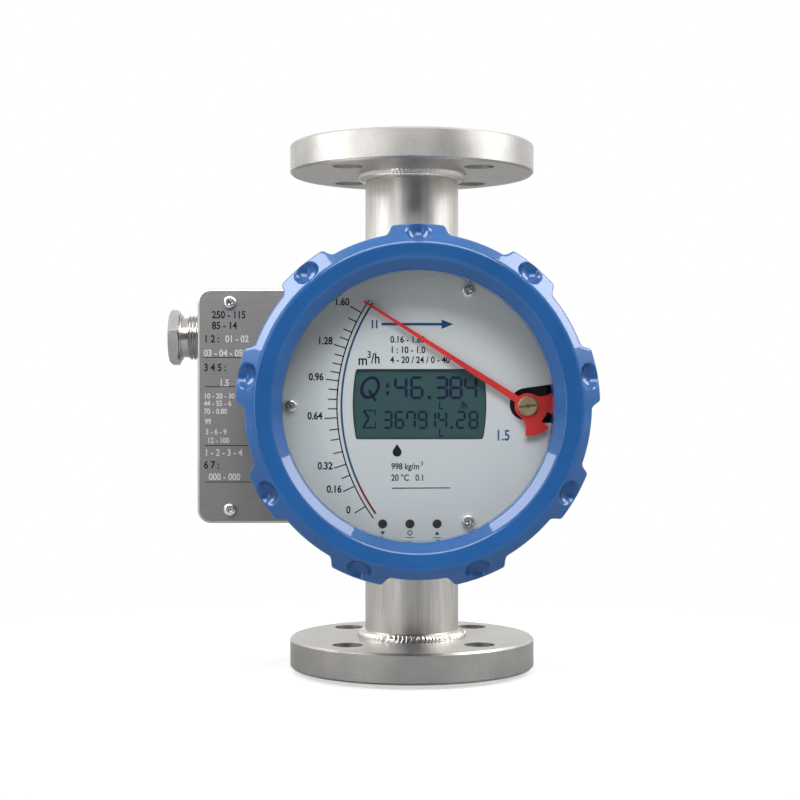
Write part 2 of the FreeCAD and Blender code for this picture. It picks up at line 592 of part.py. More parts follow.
def lobed_outline():
    """The cover's outline from the front: a circle with rounded grip lobes."""
    foot = degrees(asin(LOBE_FOOT_WIDTH / 2 / COVER_R))
    top = degrees(asin(LOBE_TOP_WIDTH / 2 / LOBE_R))
    step = 360 / LOBE_COUNT

    def at(radius, angle):
        return V(radius * cos(radians(angle)), 0, HEAD_Z + radius * sin(radians(angle)))

    points = []
    for i in range(LOBE_COUNT):
        middle = LOBE_FIRST + step * i
        points += [at(COVER_R, middle - foot), at(LOBE_R, middle - top),
                   at(LOBE_R, middle + top), at(COVER_R, middle + foot)]
    edges = []
    for i in range(LOBE_COUNT):
        a, b, c, d = points[4 * i:4 * i + 4]
        following = points[(4 * i + 4) % len(points)]
        middle = LOBE_FIRST + step * i
        edges += [Part.makeLine(a, b), Part.Arc(b, at(LOBE_R, middle), c).toShape(),
                  Part.makeLine(c, d), Part.Arc(d, at(COVER_R, middle + step / 2), following).toShape()]
    return Part.Wire(edges)


def lobed_prism():
    """The outline as a block along Y, with the lobes' corners rounded."""
    prism = Part.Face(lobed_outline()).extrude(V(0, COVER_REAR_Y - COVER_FRONT_Y, 0))
    prism.translate(V(0, COVER_FRONT_Y, 0))
    corners = [e for e in prism.Edges if e.BoundBox.YLength > COVER_REAR_Y - COVER_FRONT_Y - TOUCH]
    middle_r = (COVER_R + LOBE_R) / 2
    tops, feet = [], []
    for edge in corners:
        place = edge.CenterOfMass
        distance = sqrt(place.x ** 2 + (place.z - HEAD_Z) ** 2)
        (tops if distance > middle_r else feet).append(edge)
    prism = prism.makeFillet(LOBE_TOP_ROUND, tops)
    feet = [e for e in prism.Edges if any(abs((e.CenterOfMass - f.CenterOfMass).Length) < TOUCH for f in feet)]
    return prism.makeFillet(LOBE_FOOT_ROUND, feet)


def cover_blank():
    """The cover turned without lobes: crest, shoulder, window cone, glass seat and threaded bore."""
    bezel_r, glass_r = CREST_R - FRONT_BAND, GLASS_R + GLASS_CLEARANCE
    shoulder_y = COVER_FRONT_Y + SHOULDER_RADIUS

    def at(r, y):
        return V(r, y, HEAD_Z)

    quarter = SHOULDER_RADIUS * sin(radians(45))
    mid = at(CREST_R + quarter, shoulder_y - quarter)
    bezel_y = COVER_FRONT_Y + FRONT_BAND_DROP
    outline = [at(CREST_R, COVER_FRONT_Y), at(bezel_r, bezel_y), at(OPENING_R, LIP_Y - LIP_STRAIGHT),
               at(OPENING_R, LIP_Y), at(glass_r, LIP_Y), at(glass_r, GLASS_BACK_Y),
               at(COVER_BORE_R, GLASS_BACK_Y), at(COVER_BORE_R, COVER_REAR_Y),
               at(LOBE_R - REAR_CHAMFER, COVER_REAR_Y), at(LOBE_R, COVER_REAR_Y - REAR_CHAMFER),
               at(LOBE_R, shoulder_y)]
    edges = [Part.makeLine(a, b) for a, b in zip(outline, outline[1:])]
    edges.append(Part.Arc(outline[-1], mid, outline[0]).toShape())
    return Part.Face(Part.Wire(edges)).revolve(V(0, 0, HEAD_Z), Y_AXIS, 360)


def thumb_scoop():
    """A round-bottomed hollow across the shoulder of the lobe that points along +X."""
    inner_r = CREST_R + SCOOP_FROM_CREST
    run, fall = LOBE_R - inner_r, SHOULDER_RADIUS + SCOOP_PAST_SHOULDER
    along = V(run, fall, 0).normalize()
    away = V(along.y, -along.x, 0)      # out of the metal, square to the scoop's bottom
    length = 4 * sqrt(run ** 2 + fall ** 2)
    start = V(inner_r, COVER_FRONT_Y, HEAD_Z) + away * SCOOP_RADIUS - along * (length / 2)
    return Part.makeCylinder(SCOOP_RADIUS, length, start, along)


def cover_ring():
    """The screwed cover: turned blank, lobed outline and one thumb scoop in each lobe."""
    ring = cover_blank().common(lobed_prism())
    bezel = [e for e in ring.Edges
             if abs(e.BoundBox.YMin - (COVER_FRONT_Y + FRONT_BAND_DROP)) < TOUCH and e.BoundBox.YLength < TOUCH]
    ring = ring.makeFillet(BEZEL_ROUND, bezel)
    scoop = thumb_scoop()
    for i in range(LOBE_COUNT):
        cutter = scoop.copy()
        cutter.rotate(V(0, 0, HEAD_Z), Y_AXIS, -(LOBE_FIRST + 360 / LOBE_COUNT * i))
        ring = ring.cut(cutter)
    return ring


def window_gasket():
    return ring_on_head(GLASS_R, OPENING_R + GLASS_CLEARANCE, LIP_Y, GLASS_Y)


def window_glass():
    return rod(GLASS_R, 0, HEAD_Z, GLASS_Y, GLASS_BACK_Y)


def glass_ring():
    """The ring that holds the glass against its seat in the cover."""
    return ring_on_head(COVER_BORE_R - GLASS_CLEARANCE / 2, OPENING_R + GLASS_RING_MARGIN,
                        GLASS_BACK_Y, SEAL_Y)


def cover_seal():
    """The flat seal between the glass ring and the bowl's spigot."""
    return ring_on_head(THREAD_D / 2, BOWL_BORE_D / 2 + GLASS_CLEARANCE, SEAL_Y, SPIGOT_Y)


# --- Dial, display, board and keys -----------------------------------------------------------
def display_window(border, front, back):
    """The display's outline, with bulged sides, grown by a border and given a depth."""
    half_h, half_w = DISPLAY_HALF_H + border, DISPLAY_HALF_W + border
    side = half_w + DISPLAY_BULGE

    def at(x, z):
        return V(DISPLAY_X + x, front, DISPLAY_Z + z)

    wire = Part.Wire([Part.makeLine(at(-half_w, half_h), at(half_w, half_h)),
                      Part.Arc(at(half_w, half_h), at(side, 0), at(half_w, -half_h)).toShape(),
                      Part.makeLine(at(half_w, -half_h), at(-half_w, -half_h)),
                      Part.Arc(at(-half_w, -half_h), at(-side, 0), at(-half_w, half_h)).toShape()])
    return Part.Face(wire).extrude(V(0, back - front, 0))


def pointer_cutout():
    """The dial's cut-out round the pointer's hub, open to the right-hand edge."""
    rise = radians(CUTOUT_RISE)
    reach = DIAL_R - SPINDLE_X + CUTOUT_RADIUS
    upper = (-CUTOUT_RADIUS * sin(rise), CUTOUT_RADIUS * cos(rise))
    far = (reach, upper[1] + (reach - upper[0]) * tan(rise))
    lower_x = -sqrt(CUTOUT_RADIUS ** 2 - CUTOUT_DROP ** 2)
    corners = [upper, far, (reach, -CUTOUT_DROP), (lower_x, -CUTOUT_DROP)]
    wedge = outline_face([V(SPINDLE_X + x, DIAL_Y, HEAD_Z + z) for x, z in corners])
    disc = rod(CUTOUT_RADIUS, SPINDLE_X, HEAD_Z, DIAL_Y, DIAL_BACK_Y)
    return wedge.extrude(V(0, DIAL_T, 0)).fuse(disc)


def dial_plate():
    plate = rod(DIAL_R, 0, HEAD_Z, DIAL_Y, DIAL_BACK_Y)
    plate = plate.cut(display_window(0, DIAL_Y, DIAL_BACK_Y)).cut(pointer_cutout())
    for angle in DIAL_SCREW_ANGLES:
        x, z = on_circle(DIAL_SCREW_R, angle)
        plate = plate.cut(rod(M3 / 2, x, z, DIAL_Y, DIAL_BACK_Y))
    for x in key_places():
        plate = plate.cut(rod(KEY_HOLE_D / 2, x, KEY_Z, DIAL_Y, DIAL_BACK_Y))
    return plate


def key_places():
    return [KEY_MIDDLE_X + KEY_PITCH * (i - 1) for i in range(len(KEY_NAMES))]


def dial_posts():
    """Tapped posts from the bowl's floor to the dial."""
    posts = []
    for angle in DIAL_SCREW_ANGLES:
        x, z = on_circle(DIAL_SCREW_R, angle)
        post = rod(DIAL_POST_D / 2, x, z, DIAL_BACK_Y, BOWL_FLOOR_Y)
        posts.append(post.cut(rod(M3 / 2, x, z, DIAL_BACK_Y, DIAL_BACK_Y + DIAL_POST_D)))
    return posts


def dial_screws():
    return [pan_head_screw(M3, *on_circle(DIAL_SCREW_R, angle), DIAL_Y, DIAL_T + DIAL_POST_D)
            for angle in DIAL_SCREW_ANGLES]


def display_module():
    """The liquid-crystal display, standing on the board and against the back of the dial."""
    return display_window(DISPLAY_BORDER, DIAL_BACK_Y, BOARD_Y)


def circuit_board():
    board = rod(BOARD_R, 0, HEAD_Z, BOARD_Y, BOARD_BACK_Y)
    right = V(MOVEMENT_LEFT - BOARD_TO_MOVEMENT, BOARD_Y, HEAD_Z - BOARD_R)
    board = board.cut(Part.makeBox(2 * BOARD_R, BOARD_T, 2 * BOARD_R, right))
    for angle in DIAL_SCREW_ANGLES:
        board = board.cut(rod(BOARD_NOTCH_D / 2, *on_circle(DIAL_SCREW_R, angle),
                              BOARD_Y, BOARD_BACK_Y))
    for x, z in BOARD_POSTS:
        board = board.cut(rod(M2_5 / 2, x, HEAD_Z + z, BOARD_Y, BOARD_BACK_Y))
    return board


def board_posts():
    posts = []
    for x, z in BOARD_POSTS:
        post = rod(BOARD_POST_D / 2, x, HEAD_Z + z, BOARD_BACK_Y, BOWL_FLOOR_Y)
        posts.append(post.cut(rod(M2_5 / 2, x, HEAD_Z + z, BOARD_BACK_Y, BOARD_BACK_Y + BOARD_POST_D)))
    return posts


def board_screws():
    return [pan_head_screw(M2_5, x, HEAD_Z + z, BOARD_Y, BOARD_T + BOARD_POST_D) for x, z in BOARD_POSTS]


def key_switches():
    """The switches on the board under the keys."""
    return [Part.makeBox(SWITCH_SIZE, SWITCH_H, SWITCH_SIZE,
                         V(x - SWITCH_SIZE / 2, BOARD_Y - SWITCH_H, KEY_Z - SWITCH_SIZE / 2))
            for x in key_places()]


def key(x):
    """A round key cap through the dial, with a flange behind it and a stem to its switch."""
    flange_front = DIAL_BACK_Y + KEY_REST_GAP
    flange_back = flange_front + KEY_FLANGE_T
    cap = rod(KEY_HOLE_D / 2 - KEY_CLEARANCE, x, KEY_Z, DIAL_Y - KEY_PROUD, flange_front)
    collar = rod(KEY_FLANGE_D / 2, x, KEY_Z, flange_front, flange_back)
    stem = rod(KEY_STEM_D / 2, x, KEY_Z, flange_back, BOARD_Y - SWITCH_H - KEY_SWITCH_GAP)
    return cap.fuse(collar).fuse(stem).removeSplitter()


# --- Movement and pointer ----------------------------------------------------------------------
def movement_plate():
    """The black plate behind the dial's cut-out that carries the front bearing."""
    plate = rounded_panel(MOVEMENT_LEFT, MOVEMENT_RIGHT, HEAD_Z - MOVEMENT_HALF_H,
                          HEAD_Z + MOVEMENT_HALF_H, MOVEMENT_FRONT_Y, MOVEMENT_BACK_Y,
                          PILLAR_D / 2, PILLAR_D)
    plate = plate.cut(rod(BEARING_D / 2, SPINDLE_X, HEAD_Z, MOVEMENT_FRONT_Y, MOVEMENT_BACK_Y))
    for x, z in pillar_places():
        plate = plate.cut(rod(M2_5 / 2, x, z, MOVEMENT_FRONT_Y, MOVEMENT_BACK_Y))
    return plate


def pillar_places():
    return [(SPINDLE_X + x, HEAD_Z + z) for x, z in PILLARS]


def movement_pillars():
    pillars = []
    for x, z in pillar_places():
        pillar = rod(PILLAR_D / 2, x, z, MOVEMENT_BACK_Y, BOWL_FLOOR_Y)
        pillars.append(pillar.cut(rod(M2_5 / 2, x, z, MOVEMENT_BACK_Y, MOVEMENT_BACK_Y + PILLAR_D)))
    return pillars


def movement_screws():
    return [pan_head_screw(M2_5, x, z, MOVEMENT_FRONT_Y, MOVEMENT_T + PILLAR_D)
            for x, z in pillar_places()]


def bearing_bridge():
    """The strap across the slot that carries the rear bearing."""
    front = BOWL_FLOOR_Y - BRIDGE_T
    bridge = rounded_panel(SPINDLE_X - BRIDGE_WIDTH / 2, SPINDLE_X + BRIDGE_WIDTH / 2,
                           HEAD_Z - BRIDGE_HALF_H, HEAD_Z + BRIDGE_HALF_H, front, BOWL_FLOOR_Y,
                           BRIDGE_CORNER, BRIDGE_CORNER)
    bridge = bridge.cut(rod(BEARING_D / 2, SPINDLE_X, HEAD_Z, front, BOWL_FLOOR_Y))
    for side in (-1, 1):
        bridge = bridge.cut(rod(M2_5 / 2, SPINDLE_X, HEAD_Z + side * BRIDGE_SCREW_Z, front, BOWL_FLOOR_Y))
    return bridge


def bearing(plate_front, plate_back):
    """A flanged bush pressed into a plate from the front."""
    bush = rod(BEARING_D / 2, SPINDLE_X, HEAD_Z, plate_front, plate_back)
    lip = rod(BEARING_FLANGE_D / 2, SPINDLE_X, HEAD_Z, plate_front - BEARING_FLANGE_T, plate_front)
    hole = rod(SPINDLE_D / 2 + SPINDLE_RUNNING, SPINDLE_X, HEAD_Z,
               plate_front - BEARING_FLANGE_T, plate_back)
    return bush.fuse(lip).cut(hole).removeSplitter()


def spindle():
    """The pointer's shaft, with the collar that the pointer sits on."""
    seat = POINTER_Y + POINTER_T
    collar_back = MOVEMENT_FRONT_Y - BEARING_FLANGE_T - 2 * SPINDLE_RUNNING
    shaft = rod(SPINDLE_D / 2, SPINDLE_X, HEAD_Z, seat, ARM_Y + ARM_HUB_T)
    shaft = shaft.fuse(rod(SPINDLE_COLLAR_D / 2, SPINDLE_X, HEAD_Z, seat, collar_back))
    return shaft.cut(rod(POINTER_SCREW_SHANK_D / 2, SPINDLE_X, HEAD_Z, seat, collar_back)).removeSplitter()


def turned_to_rest(shape):
    """Turns a piece drawn pointing along +X to the pointer's place at full scale."""
    shape.rotate(V(SPINDLE_X, 0, HEAD_Z), Y_AXIS, -POINTER_REST)
    return shape


def pointer():
    """The sheet pointer: tapered needle, round hub and a two-bladed tail that balances it."""
    def at(radius, angle):
        return V(SPINDLE_X + radius * cos(radians(angle)), POINTER_Y,
                 HEAD_Z + radius * sin(radians(angle)))

    needle = outline_face([V(SPINDLE_X, POINTER_Y, HEAD_Z - NEEDLE_ROOT / 2),
                           V(SPINDLE_X + NEEDLE_LENGTH, POINTER_Y, HEAD_Z - NEEDLE_TIP / 2),
                           V(SPINDLE_X + NEEDLE_LENGTH, POINTER_Y, HEAD_Z + NEEDLE_TIP / 2),
                           V(SPINDLE_X, POINTER_Y, HEAD_Z + NEEDLE_ROOT / 2)])
    hub_r = POINTER_HUB_D / 2
    flat = Part.Face(Part.Wire(Part.makeCircle(hub_r, at(0, 0), Y_AXIS)))
    sheet = needle.extrude(V(0, POINTER_T, 0)).fuse(flat.extrude(V(0, POINTER_T, 0)))
    for side in (-1, 1):
        inner, outer = 180 + side * TAIL_INNER, 180 + side * TAIL_OUTER
        middle = (inner + outer) / 2
        edges = [Part.makeLine(at(0, 0), at(TAIL_NOTCH_R, 180)),
                 Part.makeLine(at(TAIL_NOTCH_R, 180), at(TAIL_RADIUS, inner)),
                 Part.Arc(at(TAIL_RADIUS, inner), at(TAIL_RADIUS, middle), at(TAIL_RADIUS, outer)).toShape(),
                 Part.Arc(at(TAIL_RADIUS, outer), at(TAIL_WAIST_R + hub_r / 2, outer + side * 2),
                          at(hub_r, outer + side * 18)).toShape(),
                 Part.makeLine(at(hub_r, outer + side * 18), at(0, 0))]
        blade = Part.Face(Part.Wire(edges)).extrude(V(0, POINTER_T, 0))
        sheet = sheet.fuse(blade)
    hole = rod(POINTER_SCREW_SHANK_D / 2, SPINDLE_X, HEAD_Z, POINTER_Y, POINTER_Y + POINTER_T)
    return turned_to_rest(sheet.removeSplitter().cut(hole))


def pointer_screw():
    """The slotted brass screw that clamps the pointer to its spindle."""
    front = POINTER_Y - POINTER_SCREW_HEAD
    shank_back = MOVEMENT_FRONT_Y - BEARING_FLANGE_T - 2 * SPINDLE_RUNNING
    screw = rod(POINTER_SCREW_D / 2, SPINDLE_X, HEAD_Z, front, POINTER_Y)
    rim = [e for e in screw.Edges if e.Closed and abs(e.CenterOfMass.y - front) < TOUCH]
    screw = screw.makeChamfer(POINTER_SCREW_SLOT / 2, rim[:1])
    slot = Part.makeBox(2 * POINTER_SCREW_D, POINTER_SCREW_SLOT, POINTER_SCREW_SLOT,
                        V(SPINDLE_X - POINTER_SCREW_D, front, HEAD_Z - POINTER_SCREW_SLOT / 2))
    return screw.cut(slot).fuse(rod(POINTER_SCREW_SHANK_D / 2, SPINDLE_X, HEAD_Z, POINTER_Y, shank_back))


def follower_arm():
    """The arm on the spindle's rear end that holds the follower magnet over the tube's axis."""
    hub = rod(ARM_HUB_D / 2, SPINDLE_X, HEAD_Z, ARM_Y, ARM_Y + ARM_HUB_T)
    bar = Part.makeBox(SPINDLE_X, ARM_T, ARM_WIDTH, V(SPINDLE_X, ARM_Y, HEAD_Z - ARM_WIDTH / 2))
    eye = rod(ARM_HUB_D / 2, 2 * SPINDLE_X, HEAD_Z, ARM_Y, ARM_Y + ARM_T)
    arm = hub.fuse(bar).fuse(eye)
    arm = arm.cut(rod(SPINDLE_D / 2, SPINDLE_X, HEAD_Z, ARM_Y, ARM_Y + ARM_HUB_T))
    return turned_to_rest(arm.removeSplitter())


def follower_magnet():
    """The bar magnet that the float's magnet pulls along."""
    return turned_to_rest(rod(FOLLOWER_MAGNET_D / 2, 2 * SPINDLE_X, HEAD_Z,
                              ARM_Y + ARM_T, BOX_INNER_BACK_Y - FOLLOWER_GAP))


def pieces():
    """Every node of the meter by name: a solid, or a list of identical solids."""
    lower_flange, lower_bead = flange(), weld_bead()
    found = {
        "lower_flange": lower_flange,
        "upper_flange": upside_down(lower_flange),
        "measuring_tube": measuring_tube(),
        "lower_weld_bead": lower_bead,
        "upper_weld_bead": upside_down(lower_bead),
        "metering_cone": metering_cone(),
        "lower_guide": guide(LOWER_GUIDE_Z),
        "upper_guide": guide(UPPER_GUIDE_Z),
        "lower_stop_ring": stop_ring(LOWER_GUIDE_Z - STOP_RING_H),
        "upper_stop_ring": stop_ring(UPPER_STOP_Z),
        "float_body": float_body(),
        "float_magnet": float_magnet(),
        "float_cap": float_cap(),
        "upper_saddle": saddle(1),
        "lower_saddle": saddle(-1),
        "saddle_screws": saddle_screws(),
        "rear_box": rear_box(),
        "nameplate": nameplate(),
        "nameplate_screws": nameplate_screws(),
        "blanking_plug": blanking_plug(),
        "terminal_block": terminal_block(),
        "terminal_screws": terminal_screws(),
        "head_bowl": bowl(),
        "bowl_screws": bowl_screws(),
        "cover_ring": cover_ring(),
        "window_gasket": window_gasket(),
        "window_glass": window_glass(),
        "glass_ring": glass_ring(),
        "cover_seal": cover_seal(),
        "dial_plate": dial_plate(),
        "dial_posts": dial_posts(),
        "dial_screws": dial_screws(),
        "display_module": display_module(),
        "circuit_board": circuit_board(),
        "board_posts": board_posts(),
        "board_screws": board_screws(),
        "key_switches": key_switches(),
        "movement_plate": movement_plate(),
        "movement_pillars": movement_pillars(),
        "movement_screws": movement_screws(),
        "bearing_bridge": bearing_bridge(),
        "front_bearing": bearing(MOVEMENT_FRONT_Y, MOVEMENT_BACK_Y),
        "rear_bearing": bearing(BOWL_FLOOR_Y - BRIDGE_T, BOWL_FLOOR_Y),
        "pointer_spindle": spindle(),
        "pointer": pointer(),
        "pointer_screw": pointer_screw(),
        "follower_arm": follower_arm(),
        "follower_magnet": follower_magnet(),
    }
    for name, x in zip(KEY_NAMES, key_places()):
        found["key_" + name] = key(x)
    return found


def main():
    os.makedirs("parts", exist_ok=True)
    for name, shape in pieces().items():
        whole = Part.makeCompound(shape) if isinstance(shape, list) else shape
        whole.exportStep("parts/" + name + ".step")
        print(name, len(whole.Solids), whole.isValid(), round(whole.Volume))


main()
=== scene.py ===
import json
from math import asin, atan2, cos, degrees, hypot, pi, radians, sin, sqrt, tan

import bmesh
import bpy
from mathutils import Matrix, Vector


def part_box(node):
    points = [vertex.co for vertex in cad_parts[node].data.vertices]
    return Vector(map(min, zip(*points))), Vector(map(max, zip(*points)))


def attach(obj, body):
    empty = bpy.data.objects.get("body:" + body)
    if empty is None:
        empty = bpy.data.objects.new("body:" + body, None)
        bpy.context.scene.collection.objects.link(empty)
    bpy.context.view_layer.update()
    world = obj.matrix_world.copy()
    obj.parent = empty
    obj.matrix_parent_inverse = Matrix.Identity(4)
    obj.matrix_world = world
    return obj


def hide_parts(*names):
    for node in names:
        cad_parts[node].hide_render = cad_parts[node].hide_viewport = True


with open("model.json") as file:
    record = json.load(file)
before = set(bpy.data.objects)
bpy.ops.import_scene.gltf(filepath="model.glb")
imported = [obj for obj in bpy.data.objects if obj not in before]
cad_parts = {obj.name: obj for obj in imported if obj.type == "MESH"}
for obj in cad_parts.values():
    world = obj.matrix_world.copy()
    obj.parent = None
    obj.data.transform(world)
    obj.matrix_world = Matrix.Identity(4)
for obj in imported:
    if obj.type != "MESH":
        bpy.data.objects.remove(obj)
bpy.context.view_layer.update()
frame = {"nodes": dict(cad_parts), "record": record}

MM = 0.001

# --- Places read from the frame -----------------------------------------------------------------
GLASS_LOW, GLASS_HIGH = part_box("window_glass")
HEAD = (GLASS_LOW + GLASS_HIGH) / 2             # on the head's axis
DIAL_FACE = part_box("dial_plate")[0].y
DISPLAY_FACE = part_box("display_module")[0].y
SPINDLE_LOW, SPINDLE_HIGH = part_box("pointer_spindle")
PIVOT = (SPINDLE_LOW + SPINDLE_HIGH) / 2
PLATE_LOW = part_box("nameplate")[0]
BOX_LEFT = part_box("rear_box")[0].x
PLUG_LOW, PLUG_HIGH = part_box("blanking_plug")
COVER_LOW, COVER_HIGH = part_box("cover_ring")

# --- Materials ----------------------------------------------------------------------------------


def operator(operation, swapped=False):
    """A method that adds a Math node."""
    def method(self, other):
        return self.maths(operation, *((other, self) if swapped else (self, other)))
    return method


class Value:
    """A number that varies over a surface: arithmetic on it adds Math nodes."""

    def __init__(self, nodes, socket):
        self.nodes = nodes
        self.socket = socket

    def maths(self, operation, first, second=0.0):
        return self.nodes.node("ShaderNodeMath", {"operation": operation}, {0: first, 1: second})

    __add__, __radd__ = operator("ADD"), operator("ADD", True)
    __sub__, __rsub__ = operator("SUBTRACT"), operator("SUBTRACT", True)
    __mul__, __rmul__ = operator("MULTIPLY"), operator("MULTIPLY", True)
    __pow__ = operator("POWER")

    def step(self, low, high):
        """0 below low, 1 above high, smooth between."""
        return self.nodes.node("ShaderNodeMapRange", {"interpolation_type": "SMOOTHSTEP"},
                               {"Value": self, "From Min": low, "From Max": high})

    def ramp(self, low, high, first, last):
        """The first number below low, the last above high, straight between."""
        return self.nodes.node("ShaderNodeMapRange", {},
                               {"Value": self, "From Min": low, "From Max": high,
                                "To Min": first, "To Max": last})


class Nodes:
    """A node tree, with a short way to add to it."""

    def __init__(self, tree):
        self.tree = tree

    def node(self, kind, settings, values, output=0):
        """Adds a node: its settings first, then a value or a link for each of its sockets."""
        node = self.tree.nodes.new(kind)
        for name, value in settings.items():
            setattr(node, name, value)
        for name, value in values.items():
            if isinstance(value, Value):
                self.tree.links.new(value.socket, node.inputs[name])
            else:
                node.inputs[name].default_value = value
        return Value(self, node.outputs[output])

    def blend(self, factor, first, second):
        """A number between two."""
        return self.node("ShaderNodeMix", {}, {0: factor, 2: first, 3: second})


class Finish(Nodes):
    """One material, built from nodes on the object's own coordinates."""

    def __init__(self, name, colour, roughness, metallic=0.0, **constants):
        self.material = bpy.data.materials.new(name)
        self.material.use_nodes = True
        super().__init__(self.material.node_tree)
        self.shader = self.tree.nodes["Principled BSDF"]
        self.set("Base Color", colour)
        self.set("Roughness", roughness)
        self.set("Metallic", metallic)
        for socket, value in constants.items():
            self.set(socket.replace("_", " "), value)
        self.place = self.node("ShaderNodeTexCoord", {}, {}, "Object")

    def set(self, socket, value):
        if isinstance(value, Value):
            self.tree.links.new(value.socket, self.shader.inputs[socket])
        elif isinstance(value, tuple):
            self.shader.inputs[socket].default_value = (*value, 1.0)
        else:
            self.shader.inputs[socket].default_value = value

    def stretched(self, scale):
        """The object's coordinates, stretched."""
        return self.node("ShaderNodeMapping", {"vector_type": "POINT"},
                         {"Vector": self.place, "Scale": scale})

    def noise(self, scale, detail=2.0, place=None):
        return self.node("ShaderNodeTexNoise", {},
                         {"Vector": place or self.place, "Scale": scale, "Detail": detail})

    def mix(self, factor, first, second):
        """A colour between two, by a value."""
        sockets = {0: factor}
        for index, colour in ((6, first), (7, second)):
            sockets[index] = colour if isinstance(colour, Value) else (*colour, 1.0)
        return self.node("ShaderNodeMix", {"data_type": "RGBA"}, sockets, 2)

    def tones(self, factor, colour, dark, light):
        """A colour that wanders between a darker and a lighter tone."""
        return self.mix(factor, scaled(colour, dark), scaled(colour, light))

    def bump(self, height, distance, strength):
        sockets = {"Height": height, "Distance": distance, "Strength": strength}
        self.set("Normal", self.node("ShaderNodeBump", {}, sockets))


def scaled(colour, factor):
    return tuple(channel * factor for channel in colour)


def blasted_steel(name):
    """Bead-blasted stainless: fine dimples that sparkle, and soft clouds of tone."""
    colour = (0.42, 0.408, 0.39)
    finish = Finish(name, colour, 0.42, 1.0)
    grain = finish.noise(2600, 3.0)
    pits = finish.node("ShaderNodeTexVoronoi", {}, {"Vector": finish.place, "Scale": 1900})
    clouds = finish.noise(45, 3.0)
    speck = grain.step(0.44, 0.62)
    tone = finish.tones(clouds.step(0.3, 0.7), colour, 0.86, 1.08)
    finish.set("Base Color", finish.mix(speck * 0.35, tone, scaled(colour, 1.6)))
    finish.set("Roughness", 0.34 + 0.2 * clouds - 0.12 * speck)
    finish.bump(grain + 0.6 * pits, 0.00008, 0.55)
    return finish.material


def tube_steel():
    """The measuring tube: blasted, drawn along Z and tinted by the welding heat."""
    colour = (0.60, 0.582, 0.555)
    finish = Finish("tube_stainless", colour, 0.4, 1.0)
    grain = finish.noise(2400, 3.0)
    streaks = finish.noise(60, 4.0, finish.stretched((9, 9, 0.6)))
    height = finish.node("ShaderNodeSeparateXYZ", {}, {"Vector": finish.place}, "Z")
    low, high, reach = 16.5 * MM, 233.5 * MM, 13 * MM   # where the heat began, how far it went
    heat = (1 - height.step(low, low + reach)) + height.step(high - reach, high)
    tone = finish.tones(streaks.step(0.3, 0.7), colour, 0.88, 1.06)
    finish.set("Base Color", finish.mix(heat * 0.45, tone, (0.36, 0.30, 0.235)))
    finish.set("Roughness", 0.33 + 0.16 * streaks)
    finish.bump(grain, 0.00005, 0.5)
    return finish.material


def turned_steel(name, colour, roughness, pitch=0.0003):
    """Lathe-turned metal: fine rings across the tube's axis, with a slight wander."""
    finish = Finish(name, colour, roughness, 1.0)
    rings = finish.noise(1 / pitch, 1.0, finish.stretched((0.02, 0.02, 1)))
    finish.set("Base Color", finish.tones(rings, colour, 0.85, 1.1))
    finish.set("Roughness", roughness - 0.08 + 0.16 * rings)
    finish.bump(rings, 0.00003, 0.5)
    return finish.material


def plain_metal(name, colour, roughness, grain=900):
    """A small metal part: faint handling marks and a slightly uneven shine."""
    finish = Finish(name, colour, roughness, 1.0)
    marks = finish.noise(grain, 4.0)
    smudges = finish.noise(130, 2.0)
    finish.set("Base Color", finish.tones(smudges.step(0.35, 0.65), colour, 0.9, 1.06))
    finish.set("Roughness", roughness + 0.14 * (marks - 0.5) + 0.1 * (smudges - 0.5))
    finish.bump(marks, 0.00002, 0.4)
    return finish.material


def brushed_plate(name):
    """The nameplate: drawn lengthways, matt, with the odd darker streak."""
    colour = (0.235, 0.223, 0.218)
    finish = Finish(name, colour, 0.5, 0.75)
    lines = finish.noise(2600, 2.0, finish.stretched((0.03, 1, 1)))
    bands = finish.noise(40, 2.0, finish.stretched((0.2, 1, 1)))
    tone = finish.tones(bands.step(0.3, 0.7), colour, 0.95, 1.05)
    finish.set("Base Color", finish.mix(lines.step(0.3, 0.7), tone, scaled(colour, 1.12)))
    finish.set("Roughness", 0.44 + 0.14 * lines)
    finish.bump(lines, 0.00002, 0.4)
    return finish.material


def box_steel(name):
    """The rear box: drawn sheet with a fine even grain."""
    colour = (0.56, 0.55, 0.53)
    finish = Finish(name, colour, 0.36, 1.0)
    grain = finish.noise(1500, 3.0, finish.stretched((1, 1, 0.12)))
    clouds = finish.noise(30, 2.0)
    finish.set("Base Color", finish.tones(clouds.step(0.3, 0.7), colour, 0.9, 1.05))
    finish.set("Roughness", 0.28 + 0.16 * grain)
    finish.bump(grain, 0.00003, 0.5)
    return finish.material


def blue_paint(name):
    """Gloss enamel over a casting: a slight orange peel under a clear, even shine."""
    colour = (0.0175, 0.106, 0.325)
    finish = Finish(name, colour, 0.4, Coat_Weight=1.0, Coat_Roughness=0.03, Coat_IOR=1.4,
                    Specular_IOR_Level=0.12)
    peel = finish.noise(330, 2.0)
    swell = finish.noise(70, 1.0)
    depth = finish.noise(24, 2.0)
    finish.set("Base Color", finish.tones(depth.step(0.3, 0.7), colour, 0.9, 1.08))
    finish.set("Roughness", 0.26 + 0.12 * peel)
    finish.bump(peel + 1.4 * swell, 0.00008, 0.45)
    return finish.material


